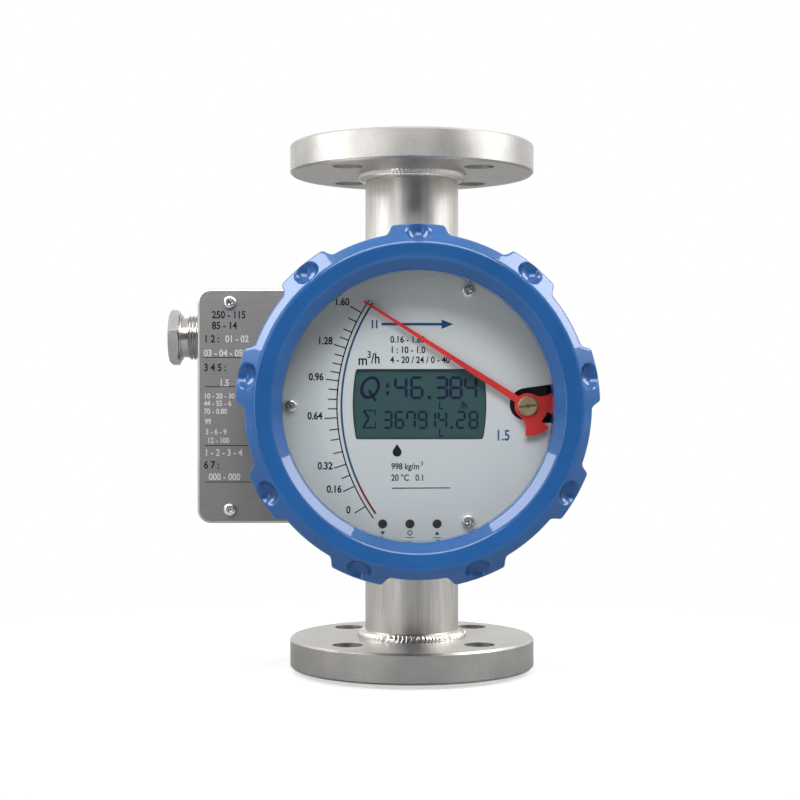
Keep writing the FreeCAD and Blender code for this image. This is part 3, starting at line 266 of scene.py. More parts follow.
def clear_glass(name):
    """The window: clear all through, so only its face reflects."""
    finish = Finish(name, (1.0, 1.0, 1.0), 0.03)
    tree = finish.tree
    clear = tree.nodes.new("ShaderNodeBsdfTransparent")
    clear.inputs["Color"].default_value = (0.985, 0.995, 0.99, 1.0)
    blend = tree.nodes.new("ShaderNodeMixShader")
    tree.links.new(clear.outputs[0], blend.inputs[1])
    gloss = tree.nodes.new("ShaderNodeBsdfGlossy")
    gloss.inputs["Roughness"].default_value = 0.02
    tree.links.new(gloss.outputs[0], blend.inputs[2])
    film = finish.noise(35, 2.0)
    grazing = finish.node("ShaderNodeLayerWeight", {}, {"Blend": 0.5}, "Facing")
    straight = 0.035                        # the share that a pane reflects when seen straight on
    shine = straight + (1 - straight) * grazing ** 5
    tree.links.new((shine * (0.75 + 0.5 * film)).socket, blend.inputs[0])
    tree.links.new(blend.outputs[0], tree.nodes["Material Output"].inputs["Surface"])
    tree.nodes.remove(finish.shader)
    return finish.material


def matt(name, colour, roughness=0.6, grain=1200, depth=0.00003, spread=0.12, shine=0.5):
    """A moulded, painted or printed surface with a fine even grain."""
    finish = Finish(name, colour, roughness, Specular_IOR_Level=shine)
    tooth = finish.noise(grain, 3.0)
    clouds = finish.noise(60, 2.0)
    tone = 0.6 * tooth + 0.4 * clouds
    finish.set("Base Color", finish.tones(tone, colour, 1 - spread, 1 + spread))
    finish.set("Roughness", roughness - 0.08 + 0.16 * tooth)
    finish.bump(tooth, depth, 0.4)
    return finish.material


def display_glass(name):
    """The liquid-crystal panel: a flat green-grey with a faint ground of unlit segments."""
    colour = (0.053, 0.108, 0.115)
    finish = Finish(name, colour, 0.5, Specular_IOR_Level=0.15)
    ground = finish.noise(2500, 1.0)
    shade = finish.noise(25, 1.0)
    finish.set("Base Color", finish.tones(0.5 * ground + 0.5 * shade, colour, 0.9, 1.1))
    finish.set("Roughness", 0.3 + 0.1 * ground)
    return finish.material


def red_paint(name):
    """The pointer's red: a thin coat over sheet metal."""
    colour, light = (0.72, 0.028, 0.031), (0.78, 0.036, 0.038)
    finish = Finish(name, colour, 0.4, Coat_Weight=0.3, Coat_Roughness=0.12)
    coat = finish.noise(500, 3.0)
    wash = finish.noise(60, 2.0)
    finish.set("Base Color", finish.mix(wash.step(0.3, 0.7), scaled(colour, 0.85), light))
    finish.set("Roughness", 0.3 + 0.14 * coat)
    finish.bump(coat, 0.00004, 0.4)
    return finish.material


FINISHES = {name: make(name, *settings) for make, name, *settings in (
    (blasted_steel, "blasted_stainless"),
    (turned_steel, "turned_stainless", (0.56, 0.55, 0.54), 0.25),
    (plain_metal, "spring_steel", (0.42, 0.41, 0.40), 0.3),
    (box_steel, "box_stainless"),
    (brushed_plate, "plate_stainless"),
    (plain_metal, "plug_nickel", (0.44, 0.43, 0.42), 0.24, 2600),
    (blue_paint, "blue_gloss_paint"),
    (clear_glass, "window_glass"),
    (matt, "black_rubber", (0.018, 0.018, 0.019), 0.62, 800, 0.00005),
    (plain_metal, "plated_steel", (0.86, 0.85, 0.83), 0.27),
    (plain_metal, "anodised_aluminium", (0.55, 0.55, 0.56), 0.38),
    (matt, "dial_paint", (0.72, 0.745, 0.77), 0.5, 1600, 0.00002, 0.02, 0.3),
    (display_glass, "display_panel"),
    (matt, "board_green", (0.02, 0.14, 0.06), 0.4),
    (matt, "board_plastic", (0.03, 0.03, 0.032), 0.5),
    (matt, "black_plastic", (0.040, 0.030, 0.030), 0.42),
    (plain_metal, "black_anodised", (0.055, 0.042, 0.042), 0.42),
    (plain_metal, "brass", (0.78, 0.62, 0.38), 0.36),
    (plain_metal, "spindle_steel", (0.6, 0.6, 0.6), 0.15),
    (red_paint, "red_paint"),
    (plain_metal, "magnet", (0.35, 0.35, 0.36), 0.3),
)}
TUBE = tube_steel()
WELD = turned_steel("weld_metal", (0.62, 0.60, 0.56), 0.26, 0.0008)
INK_BLACK = matt("ink_black", (0.012, 0.012, 0.014), 0.5, shine=0.15)
INK_BLUE = matt("ink_blue", (0.016, 0.09, 0.21), 0.5, shine=0.15)
INK_RED = matt("ink_red", (0.23, 0.014, 0.018), 0.5, shine=0.15)
SEGMENT_INK = matt("segment_ink", (0.008, 0.013, 0.050), 0.5, shine=0.15)
# Painted shade for the bottom of the pointer screw's slot and centre mark.
SLOT_PAINTED_SHADE = matt("slot_painted_shade", (0.12, 0.082, 0.048), 0.6)
ETCHED = matt("etched_line", (0.014, 0.013, 0.013), 0.6, shine=0.15)
MARKED = matt("laser_mark", (0.62, 0.60, 0.59), 0.6, shine=0.2)


def dress_frame():
    """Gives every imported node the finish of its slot."""
    for subpart in frame["record"]["subparts"]:
        for slot in frame["nodes"][subpart["node"]].material_slots:
            slot.material = FINISHES[subpart["material_slot"]]
    for slot in frame["nodes"]["measuring_tube"].material_slots:
        slot.material = TUBE


# --- Mesh helpers -------------------------------------------------------------------------------
INK = 0.03 * MM             # thickness of print
CAPITAL = 0.70              # height of a capital over the size of the built-in lettering


def piece(name, mesh_bm, body, slot, replaces=(), smooth=35, finish=None):
    """Makes a finished mesh an object that rides on a body, in its slot's finish or another."""
    bmesh.ops.remove_doubles(mesh_bm, verts=mesh_bm.verts, dist=1e-7)
    bmesh.ops.recalc_face_normals(mesh_bm, faces=mesh_bm.faces)
    for edge in mesh_bm.edges:
        edge.smooth = len(edge.link_faces) < 2 or edge.calc_face_angle(0) < radians(smooth)
    for face in mesh_bm.faces:
        face.smooth = True
    mesh = bpy.data.meshes.new(name)
    mesh_bm.to_mesh(mesh)
    mesh_bm.free()
    mesh.materials.append(finish or FINISHES[slot])
    obj = bpy.data.objects.new(name, mesh)
    bpy.context.collection.objects.link(obj)
    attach(obj, body)
    if replaces:
        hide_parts(*replaces)
    return obj


def polyline(mesh_bm, points, closed=False):
    """A chain of edges through points."""
    verts = [mesh_bm.verts.new(p) for p in points]
    edges = [mesh_bm.edges.new(pair) for pair in zip(verts, verts[1:])]
    if closed:
        edges.append(mesh_bm.edges.new((verts[-1], verts[0])))
    return verts, edges


def spun(points, centre, axis, steps, closed=False):
    """A solid of revolution from a profile."""
    mesh_bm = bmesh.new()
    verts, edges = polyline(mesh_bm, points, closed)
    bmesh.ops.spin(mesh_bm, geom=verts + edges, cent=centre, axis=axis, angle=2 * pi, steps=steps,
                   use_merge=True, use_duplicate=False)
    return mesh_bm


def deepen(mesh_bm, faces, depth):
    """Gives flat faces a thickness, along Y."""
    shape = bmesh.ops.extrude_face_region(mesh_bm, geom=faces)
    moved = [v for v in shape["geom"] if isinstance(v, bmesh.types.BMVert)]
    bmesh.ops.translate(mesh_bm, verts=moved, vec=(0, depth, 0))


def panel(mesh_bm, corners, front, depth=INK):
    """A flat shape on the XZ plane, given its corners, as a thin block behind front."""
    face = mesh_bm.faces.new([mesh_bm.verts.new((x, front, z)) for x, z in corners])
    deepen(mesh_bm, [face], depth)


def bar(mesh_bm, start, end, width, front, depth=INK):
    """A straight printed line between two places on the XZ plane."""
    a, b = Vector(start), Vector(end)
    along = (b - a).normalized()
    side = Vector((-along.y, along.x)) * width / 2
    panel(mesh_bm, [a - side, b - side, b + side, a + side], front, depth)


def letters(mesh_bm, text, x, z, height, front, align="CENTER", squeeze=0.86, weight=0.019):
    """Adds lettering whose capitals are of the given height, centred on z."""
    curve = bpy.data.curves.new("letters", "FONT")
    curve.body = text
    curve.size = 1.0
    curve.align_x = align
    curve.align_y = "CENTER"
    curve.offset = weight
    curve.extrude = 0.5
    curve.resolution_u = 6
    obj = bpy.data.objects.new("letters", curve)
    bpy.context.collection.objects.link(obj)
    mesh = evaluated_mesh(obj)
    size = height / CAPITAL
    mesh.transform(Matrix.Translation((x, front + INK / 2, z)) @ Matrix.Rotation(pi / 2, 4, "X")
                   @ Matrix.Diagonal((size * squeeze, size, INK, 1)))
    mesh_bm.from_mesh(mesh)
    bpy.data.objects.remove(obj)
    bpy.data.curves.remove(curve)
    bpy.data.meshes.remove(mesh)


def evaluated_mesh(obj):
    """A copy of an object's mesh with its modifiers applied."""
    bpy.context.view_layer.update()
    return bpy.data.meshes.new_from_object(obj.evaluated_get(bpy.context.evaluated_depsgraph_get()))


def cut_out(obj, cutter_bm):
    """Cuts one mesh out of an object."""
    mesh = bpy.data.meshes.new("recess")
    cutter_bm.to_mesh(mesh)
    cutter_bm.free()
    cutter = bpy.data.objects.new("recess", mesh)
    bpy.context.collection.objects.link(cutter)
    boolean = obj.modifiers.new("recess", "BOOLEAN")
    boolean.operation = "DIFFERENCE"
    boolean.solver = "EXACT"
    boolean.use_self = True
    boolean.object = cutter
    cut = evaluated_mesh(obj)
    obj.modifiers.clear()
    obj.data = cut
    bpy.data.objects.remove(cutter)


# --- Cover --------------------------------------------------------------------------------------
COVER_FRONT = COVER_LOW.y
COVER_REAR = COVER_HIGH.y
LOBES = 9
LOBE_FIRST = radians(10)
LOBE_R = 75.6 * MM
BODY_R = 71.4 * MM
SHOULDER = 9.5 * MM
CREST_R = LOBE_R - SHOULDER
BEZEL_R = 60.4 * MM
OPENING_R = 56.0 * MM
LIP_Y = GLASS_LOW.y - 0.8 * MM
CREST_ROUND = 3.2 * MM
RIM_ROUND = 3.0 * MM
REAR_CHAMFER = 0.8 * MM
THREAD_BORE_R = 66.4 * MM
GLASS_SEAT_R = 62.3 * MM
LOBE_HALF = 13.2 * MM         # from a lobe's middle to its foot
LOBE_FLANK = 2.3 * MM
SCOOP_R = 5.7 * MM            # of the ball that shapes the scoop
SCOOP_LIFT = 1.9 * MM         # of the ball's centre over the shoulder
SCOOP_AT = 71.5 * MM
BEVEL = radians(42)           # slope of the window's edge and of the shoulder


def smooth_least(a, b, blend):
    """The smaller of two numbers, with the corner where they meet rounded."""
    h = max(0.0, min(1.0, 0.5 + 0.5 * (b - a) / blend))
    return b * (1 - h) + a * h - blend * h * (1 - h)


def from_lobe(angle):
    """The angle from the middle of the nearest lobe."""
    pitch = 2 * pi / LOBES
    return (angle - LOBE_FIRST + pitch / 2) % pitch - pitch / 2


def lobe_reach(angle):
    """Radius of the cover's outline at an angle: a circle with round-cornered grip lobes."""
    away = abs(from_lobe(angle)) * LOBE_R
    flank = (LOBE_HALF - away) / LOBE_FLANK         # 1 at the lobe's top corner, 0 at its foot
    rise = smooth_least(flank, 1.0, 0.35)
    rise = -smooth_least(-rise, 0.0, 0.6)
    return BODY_R + (LOBE_R - BODY_R) * max(0.0, min(1.0, rise))


def scoop_depth(radius, y, across):
    """How far a point of the shoulder has to go in to reach the round bottom of the thumb scoop."""
    out = (sin(BEVEL), -cos(BEVEL))
    down = (SCOOP_AT - CREST_R - CREST_ROUND * sin(BEVEL)) * tan(BEVEL)
    level = COVER_FRONT + CREST_ROUND * (1 - cos(BEVEL)) + down
    side = radius - SCOOP_AT, y - level
    high = side[0] * out[0] + side[1] * out[1] - SCOOP_LIFT
    along = side[0] * -out[1] + side[1] * out[0]
    reach = SCOOP_R ** 2 - along ** 2 - across ** 2
    if reach <= 0:
        return 0.0, out
    return max(0.0, -smooth_least(-(high + sqrt(reach)), 0.0, 0.35 * MM)), out


def soft_corner(start, corner, end, count):
    """A rounded corner between two places, as a quadratic curve."""
    places = []
    for i in range(count):
        t = i / count
        places.append(tuple((1 - t) ** 2 * a + 2 * t * (1 - t) * b + t * t * c
                            for a, b, c in zip(start, corner, end)))
    return places


def cover_profile():
    """The cover's section as (radius, y), from the glass lip round the front and back to it."""
    def run(start, end, count):
        return [tuple(a + (b - a) * i / count for a, b in zip(start, end)) for i in range(count)]

    def arc(centre, radius, start, end, count):
        angles = [start + (end - start) * i / count for i in range(count)]
        return [(centre[0] + radius * cos(t), centre[1] + radius * sin(t)) for t in angles]

    # The window's edge: up the opening, round its foot, along the slope and over the bezel.
    bezel_y = COVER_FRONT + 0.9 * MM
    foot_y = bezel_y + (BEZEL_R - OPENING_R) * tan(BEVEL)
    below, above = (OPENING_R, foot_y + 0.5 * MM), (OPENING_R + 0.4 * MM, foot_y - 0.36 * MM)
    before = (BEZEL_R - 0.6 * MM, bezel_y + 0.54 * MM)
    after = (BEZEL_R + 0.9 * MM, bezel_y - 0.12 * MM)
    points = run((OPENING_R, LIP_Y), below, 4)
    points += soft_corner(below, (OPENING_R, foot_y), above, 4)
    points += run(above, before, 5)
    points += soft_corner(before, (BEZEL_R, bezel_y), after, 6)
    points += run(after, (CREST_R, COVER_FRONT), 6)
    # The crest, the shoulder's slope and the rim.
    slope = (SHOULDER - CREST_ROUND * sin(BEVEL) - RIM_ROUND * (1 - sin(BEVEL))) / cos(BEVEL)
    start = (CREST_R + CREST_ROUND * sin(BEVEL), COVER_FRONT + CREST_ROUND * (1 - cos(BEVEL)))
    end = (start[0] + slope * cos(BEVEL), start[1] + slope * sin(BEVEL))
    edge_y = end[1] + RIM_ROUND * cos(BEVEL)
    points += arc((CREST_R, COVER_FRONT + CREST_ROUND), CREST_ROUND, -pi / 2, -pi / 2 + BEVEL, 8)
    points += run(start, end, 22)
    points += arc((LOBE_R - RIM_ROUND, edge_y), RIM_ROUND, -pi / 2 + BEVEL, 0, 8)
    # The outside, the rear edge, the threaded bore and the glass's seat.
    side_end, rear = (LOBE_R, COVER_REAR - REAR_CHAMFER), (LOBE_R - REAR_CHAMFER, COVER_REAR)
    points += run((LOBE_R, edge_y), side_end, 8)
    points += run(side_end, rear, 3)
    points += [rear, (THREAD_BORE_R, COVER_REAR), (THREAD_BORE_R, GLASS_HIGH.y),
               (GLASS_SEAT_R, GLASS_HIGH.y), (GLASS_SEAT_R, LIP_Y)]
    return points


def cover():
    """The painted cover: spun round, drawn in between the lobes, and scooped for the thumbs."""
    profile = [(HEAD.x + r, y, HEAD.z) for r, y in cover_profile()]
    mesh_bm = spun(profile, HEAD, (0, -1, 0), 900, closed=True)
    inner = CREST_R - 1 * MM
    for vert in mesh_bm.verts:
        dx, dz = vert.co.x - HEAD.x, vert.co.z - HEAD.z
        radius, angle, y = hypot(dx, dz), atan2(dz, dx), vert.co.y
        if radius < inner or y > COVER_REAR - 0.05 * MM and radius < BODY_R - 1 * MM:
            continue
        edge = lobe_reach(angle) - max(0.0, y - (COVER_REAR - REAR_CHAMFER))
        radius = smooth_least(radius, edge, 0.9 * MM) if radius > CREST_R + 2 * MM else radius
        depth, out = scoop_depth(radius, y, from_lobe(angle) * radius)
        radius, y = radius - out[0] * depth, y - out[1] * depth
        vert.co = (HEAD.x + radius * cos(angle), y, HEAD.z + radius * sin(angle))
    piece("cover_shell", mesh_bm, "cover", "blue_gloss_paint", ["cover_ring"], 50)


# --- Weld beads ---------------------------------------------------------------------------------
TUBE_R = 22.0 * MM
WELD_LEG = 3.6 * MM
WELD_BELLY = 0.22 * WELD_LEG
WELD_STEPS = 12
LOWER_WELD, UPPER_WELD = 16.0 * MM, 234.0 * MM


def weld_bead(name, level, up, ripple, count, seed):
    """A fillet weld round the tube, laid in overlapping crescents."""
    root = TUBE_R - 0.05 * MM
    section = [(root, 0, level)]
    for i in range(WELD_STEPS + 1):
        t = i / WELD_STEPS
        belly = WELD_BELLY * sin(pi * t)
        section.append((root + WELD_LEG * (1 - t) + belly, 0, level + up * (WELD_LEG * t + belly)))
    mesh_bm = spun(section, (0, 0, 0), (0, 0, 1), 540, closed=True)
    for vert in mesh_bm.verts:
        x, y, z = vert.co
        radius, angle = hypot(x, y), atan2(y, x)
        rise = (z - level) * up
        if radius < TUBE_R + 0.1 * MM and rise < 0.1 * MM:
            continue
        t = rise / WELD_LEG
        lag = 1.6 * (t - 0.5) ** 2
        wander = 0.35 * sin(5 * angle + seed) + 0.25 * sin(11 * angle + 2 * seed)
        phase = (angle * count / (2 * pi) + lag * 1.4 + wander) % 1.0
        lift = ripple * (1 - phase) ** 1.5 * sin(pi * min(1.0, max(0.0, 0.12 + 0.76 * t)))
        swell = 0.10 * MM * sin(3 * angle + seed)
        grow = lift + swell * sin(pi * min(1.0, max(0.0, t)))
        radius += grow * 0.7
        z += up * grow * 0.7
        if t < 0.04:
            z = level
        vert.co = (radius * cos(angle), radius * sin(angle), z)
    piece(name, mesh_bm, "meter", "blasted_stainless", [name + "_bead"], 60, WELD)


# --- Blanking plug ------------------------------------------------------------------------------


def plug():
    """The nickel-plated blanking plug: chamfered hexagon, collar, neck and a real M20 thread."""
    flats, height = 22.0 * MM, 4.7 * MM
    collar_r, groove_r = 10.15 * MM, 8.7 * MM
    crest, root, pitch = 9.9 * MM, 9.1 * MM, 1.5 * MM
    x0, x1 = PLUG_LOW.x, PLUG_LOW.x + height
    axis_y, axis_z = (PLUG_LOW.y + PLUG_HIGH.y) / 2, (PLUG_LOW.z + PLUG_HIGH.z) / 2
    centre = Vector((0, axis_y, axis_z))
    corner = flats / 2 / cos(radians(30))
    chamfer = corner - flats / 2 * 0.97

    def ring(start, points):
        return [(start + x, axis_y, axis_z + r) for x, r in points]

    def finished(name, mesh_bm, replaces, smooth):
        piece(name, mesh_bm, "meter", "plug_nickel", replaces, smooth)

    outline = [(0, 0), (0, corner - chamfer), (chamfer * 0.55, corner),
               (height - chamfer * 0.4, corner), (height, corner - chamfer * 0.7), (height, 0)]
    head = spun(ring(x0, outline), centre, (1, 0, 0), 144)
    bmesh.ops.remove_doubles(head, verts=head.verts, dist=1e-7)
    for i in range(6):
        normal = radians(42 + 60 * i)
        away = Vector((0, -cos(normal), sin(normal)))
        made = bmesh.ops.bisect_plane(head, geom=head.verts[:] + head.edges[:] + head.faces[:],
                                      plane_co=centre + away * flats / 2, plane_no=away,
                                      clear_outer=True)
        rim = [e for e in made["geom_cut"] if isinstance(e, bmesh.types.BMEdge)]
        bmesh.ops.edgeloop_fill(head, edges=rim)
    finished("plug_head", head, [], 20)

    collar, neck = 0.9 * MM, 3.7 * MM               # where each of them ends behind the head
    inside = BOX_LEFT + 3 * MM - x1
    outline = [(0, 0), (0, 10.0 * MM), (0.2 * MM, collar_r), (0.7 * MM, collar_r),
               (collar, 10.0 * MM), (collar, groove_r), (neck, groove_r), (neck, root),
               (inside, root), (inside, 0)]
    finished("plug_shank", spun(ring(x1, outline), centre, (1, 0, 0), 144), ["blanking_plug"], 30)

    turns, steps = 5, 96
    thread = bmesh.new()
    foot = root - 0.1 * MM
    flank = ring(x1 + neck - 0.15 * MM, [(0, foot), (0.58 * MM, crest), (0.78 * MM, crest),
                                         (1.36 * MM, foot)])
    verts, edges = polyline(thread, flank, closed=True)
    bmesh.ops.spin(thread, geom=verts + edges, cent=centre, axis=(1, 0, 0), angle=2 * pi * turns,
                   steps=steps * turns, dvec=(pitch / steps, 0, 0), use_duplicate=False)
    bmesh.ops.edgeloop_fill(thread, edges=[e for e in thread.edges if len(e.link_faces) == 1])
    finished("plug_thread", thread, [], 40)


# --- Screws -------------------------------------------------------------------------------------


PAN_R = 2.775 * MM
PAN_H = 1.86 * MM
SHAFT_R = 1.5 * MM


def cross_screw(name, x, z, seat, turn, reach):
    """A pan-head screw with a cross recess, its head facing -Y."""
    front = seat - PAN_H
    profile = [(0, front)]
    for i in range(1, 9):
        t = radians(90) * i / 8
        profile.append((PAN_R * (0.62 + 0.38 * sin(t)) if i > 1 else PAN_R * 0.6,
                        front + PAN_H * 0.62 * (1 - cos(t)) + 0.02 * MM))
    profile += [(PAN_R, seat), (SHAFT_R, seat), (SHAFT_R, seat + reach), (0, seat + reach)]
    head = spun([(x + r, y, z) for r, y in profile], (x, 0, z), (0, 1, 0), 64)
    obj = piece(name, head, "meter", "plated_steel")

    cutter_bm = bmesh.new()
    arm, width, depth = PAN_R * 0.62, PAN_R * 0.17, PAN_H * 0.72
    for quarter in (0, 90):
        made = bmesh.ops.create_cube(cutter_bm, size=1.0)["verts"]
        for vert in made:
            deep = vert.co.y > 0
            vert.co.x *= 2 * arm * (0.45 if deep else 1.0)
            vert.co.z *= 2 * width * (0.7 if deep else 1.0)
            vert.co.y = front + depth if deep else front - 1 * MM
        turned(cutter_bm, made, turn + quarter, "Y")
        bmesh.ops.translate(cutter_bm, verts=made, vec=(x, 0, z))
    cut_out(obj, cutter_bm)
    return obj


def turned(mesh_bm, verts, angle, axis):
    """Turns vertices about an axis through the origin, by degrees."""
    bmesh.ops.rotate(mesh_bm, verts=verts, cent=(0, 0, 0),
                     matrix=Matrix.Rotation(radians(angle), 3, axis))


def screws():
    """The nameplate's two screws and the dial's three."""
    low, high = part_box("nameplate_screws")
    for index, z in enumerate((high.z - PAN_R, low.z + PAN_R)):
        screw = cross_screw(f"nameplate_screw_{index + 1}", low.x + PAN_R, z, PLATE_LOW.y,
                            20 + 35 * index, 3 * MM)
        if index == 0:
            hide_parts("nameplate_screws")
    circle = 53.2 * MM
    for index, (angle, turn) in enumerate(((66, 12), (180, 40), (294, 28))):
        screw = cross_screw(f"dial_screw_{index + 1}", HEAD.x + circle * cos(radians(angle)),
                            HEAD.z + circle * sin(radians(angle)), DIAL_FACE, turn, 6 * MM)
        if index == 0:
            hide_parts("dial_screws")


# --- Pointer ------------------------------------------------------------------------------------


def about_pivot(angle, radius):
    """A place on the XZ plane, by degrees round the pointer's pivot and metres from it."""
    return PIVOT.x + radius * cos(radians(angle)), PIVOT.z + radius * sin(radians(angle))


def pointer_sheet():
    """The pointer cut from sheet: a tapered needle, a round hub and a tail with a notch."""
    low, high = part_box("pointer")
    rest = 147.4                                    # degrees round, with the float at rest
    tip_r, hub_r, tail_r = 81.8, 5.5, 12.7
    tail_start, tail_end = 118.5, 167.8             # degrees from the needle
    half = [(tip_r, degrees(atan2(0.5, tip_r))), (hub_r, degrees(asin(1.45 / hub_r)))]
    half += [(hub_r, angle) for angle in range(21, 95, 6)]
    half += [(5.7, 99), (6.1, 105), (6.8, 111), (7.7, 115.5), (9.2, 118)]
    half += [(tail_r, tail_start + (tail_end - tail_start) * i / 12) for i in range(13)]
    half += [(8.7, 164.0), (8.45, 180.0)]
    other_half = [(radius, -angle) for radius, angle in reversed(half[:-1])]
    corners = [about_pivot(rest + angle, radius * MM) for radius, angle in half + other_half]
    sheet = bmesh.new()
    panel(sheet, corners, low.y, high.y - low.y)
    piece("pointer_sheet", sheet, "pointer_movement", "red_paint", ["pointer"])


def pointer_nut():
    """The pointer's brass screw, with its slot and centre mark."""
    low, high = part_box("pointer_screw")
    radius, front, rear, edge = 4.2 * MM, low.y, low.y + 1.6 * MM, 0.5 * MM
    shaft_r, dimple_r, slot_turn = 1 * MM, 0.95 * MM, 5.5
    profile = [(0, front), (radius - edge, front), (radius, front + edge), (radius, rear),
               (shaft_r, rear), (shaft_r, high.y), (0, high.y)]
    head = spun([(PIVOT.x + r, y, PIVOT.z) for r, y in profile], PIVOT, (0, 1, 0), 96)
    obj = piece("pointer_screw_head", head, "pointer_movement", "brass", ["pointer_screw"], 30)
    cutter_bm = bmesh.new()
    made = bmesh.ops.create_cube(cutter_bm, size=1.0)["verts"]
    bmesh.ops.scale(cutter_bm, verts=made, vec=(10 * MM, 1.4 * MM, 0.8 * MM))
    turned(cutter_bm, made, -slot_turn, "Y")
    made = bmesh.ops.create_cone(cutter_bm, cap_ends=True, segments=32, radius1=dimple_r,
                                 radius2=dimple_r, depth=1.8 * MM)["verts"]
    turned(cutter_bm, made, 90, "X")
    bmesh.ops.translate(cutter_bm, verts=cutter_bm.verts, vec=(PIVOT.x, front, PIVOT.z))
    cut_out(obj, cutter_bm)
    # Painted shade: dark sheets in the bottom of the slot and of the mark, where shade falls.
    slot = bmesh.new()
    bar(slot, about_pivot(180 + slot_turn, 3.9 * MM), about_pivot(slot_turn, 3.9 * MM), 0.78 * MM,
        front + 0.4 * MM, 0.1 * MM)
    panel(slot, [about_pivot(360 * i / 32, dimple_r - 0.02 * MM) for i in range(32)],
          front + 0.3 * MM, 0.08 * MM)
    piece("pointer_screw_painted_shade", slot, "pointer_movement", "brass", finish=SLOT_PAINTED_SHADE)


# --- Dial print ---------------------------------------------------------------------------------
PRINT = DIAL_FACE - INK     # front of the dial's print
ARC_R = 80.4 * MM
BAND_R = ARC_R - 1.9 * MM   # of the coloured bands inside the arc
# Tick angles by value, in degrees round the pivot.
TICKS = {1.60: 150.6, 1.52: 153.8, 1.44: 157.2, 1.36: 159.8, 1.28: 162.3, 1.20: 164.9, 1.12: 167.5,
         1.04: 170.0, 0.96: 172.4, 0.88: 175.1, 0.80: 178.0, 0.72: 180.8, 0.64: 183.5, 0.56: 186.9,
         0.48: 189.9, 0.40: 193.8, 0.32: 197.8, 0.24: 201.3, 0.16: 204.9, 0.0: 211.8}
LONG_TICKS = (1.60, 1.28, 0.96, 0.64, 0.32, 0.16, 0.0)
# Text, place in mm from the dial's centre, and height in mm.
SCALE_LABELS = (("1.60", -31.7, 43.9, 3.0), ("1.28", -38.8, 27.4, 3.0),
                ("0.96", -42.6, 12.2, 3.0), ("0.64", -43.1, -4.3, 3.0),
                ("0.32", -38.8, -25.4, 3.0), ("0.16", -35.0, -35.2, 3.0), ("0", -29.0, -44.0, 3.0))
DIAL_UNIT = (("m", -22.9, 19.2, 4.3), ("3", -20.2, 21.6, 2.9))
DIAL_PER_HOUR = (("/h", -17.5, 19.9, 4.3),)
DIAL_RANGES = (("0.16 - 1.60", -11.3, 28.0, 2.7), ("1 : 10 - 1.0", -11.3, 23.6, 2.7),
               ("4 - 20 / 24 / 0 - 40", -11.3, 19.4, 2.7))
DIAL_LIQUID = (("998 kg/m", -10.9, -25.6, 2.6), ("3", 1.6, -24.4, 1.7),
               ("20 °C", -10.9, -30.4, 2.6), ("0.1", -0.7, -30.4, 2.6))
DIAL_NUMBER = (("1.5", 36.3, -12.6, 4.4),)


def dial_place(x, z):
    """A place in metres from millimetres off the dial's centre."""
    return HEAD.x + x * MM, HEAD.z + z * MM


def words(mesh_bm, rows, front, place, **form):
    """Adds rows of lettering, each at its own place and height."""
    for text, x, z, height in rows:
        letters(mesh_bm, text, *place(x, z), height * MM, front, **form)


def arc_line(mesh_bm, radius, width, start, end):
    """A printed arc about the pointer's pivot."""
    inner, outer = about_pivot(start, radius - width / 2), about_pivot(start, radius + width / 2)
    points = [(inner[0], PRINT, inner[1]), (outer[0], PRINT, outer[1]),
              (outer[0], DIAL_FACE, outer[1]), (inner[0], DIAL_FACE, inner[1])]
    verts, edges = polyline(mesh_bm, points, closed=True)
    face = mesh_bm.faces.new(verts)
    bmesh.ops.spin(mesh_bm, geom=[face] + edges + verts, cent=PIVOT, axis=(0, -1, 0),
                   angle=radians(end - start), steps=int(abs(end - start) * 2), use_duplicate=False)


def triangle(mesh_bm, x, z, half_width, half_height, tip, front):
    """A triangle on the dial whose tip points up (1) or down (-1)."""
    panel(mesh_bm, [dial_place(x - half_width, z - half_height * tip),
                    dial_place(x + half_width, z - half_height * tip),
                    dial_place(x, z + half_height * tip)], front)


def dial_print():
    """The scale, its bands and numbers, the dial's lines, and the marks under the keys."""
    black, blue, red = bmesh.new(), bmesh.new(), bmesh.new()
    arc_line(black, ARC_R, 0.55 * MM, 146.3, 216.1)
    arc_line(blue, BAND_R, 0.85 * MM, 146.3, 204.2)
    arc_line(red, BAND_R, 0.85 * MM, 204.2, 215.4)
    for value, angle in TICKS.items():
        reach = 5.4 * MM if value in LONG_TICKS else 3.9 * MM
        bar(black, about_pivot(angle, ARC_R), about_pivot(angle, ARC_R + reach), 0.5 * MM, PRINT)
    words(black, SCALE_LABELS, PRINT, dial_place, weight=0.028)
    words(black, DIAL_UNIT, PRINT, dial_place)
    words(black, DIAL_PER_HOUR, PRINT, dial_place, squeeze=0.8)
    words(black, DIAL_RANGES, PRINT, dial_place, align="LEFT", squeeze=0.88, weight=0.026)
    words(black, DIAL_LIQUID, PRINT, dial_place, align="LEFT")
    words(blue, DIAL_NUMBER, PRINT, dial_place, squeeze=0.8)
    bar(black, dial_place(-10.6, -34.7), dial_place(14.0, -34.6), 0.45 * MM, PRINT)
    droplet(black, -8.4, -18.9)
    flow_arrow(blue)
    for x, tip in ((-14.5, -1), (8.5, 1)):
        triangle(blue, x, -53.7 + 0.05 * tip, 0.95, 0.85, tip, PRINT)
        bar(blue, dial_place(x - 1.6, -55.6), dial_place(x + 1.6, -55.6), 0.3 * MM, PRINT)
    oval(blue, *dial_place(-3.0, -53.6), 1.1 * MM, 1.1 * MM, 0.4 * MM, 0, PRINT)
    bar(blue, dial_place(-4.6, -55.6), dial_place(-1.4, -55.6), 0.3 * MM, PRINT)
    for name, mesh_bm, finish in (("dial_print_black", black, INK_BLACK),
                                  ("dial_print_blue", blue, INK_BLUE),
                                  ("dial_print_red", red, INK_RED)):
        piece(name, mesh_bm, "meter", "dial_paint", finish=finish)


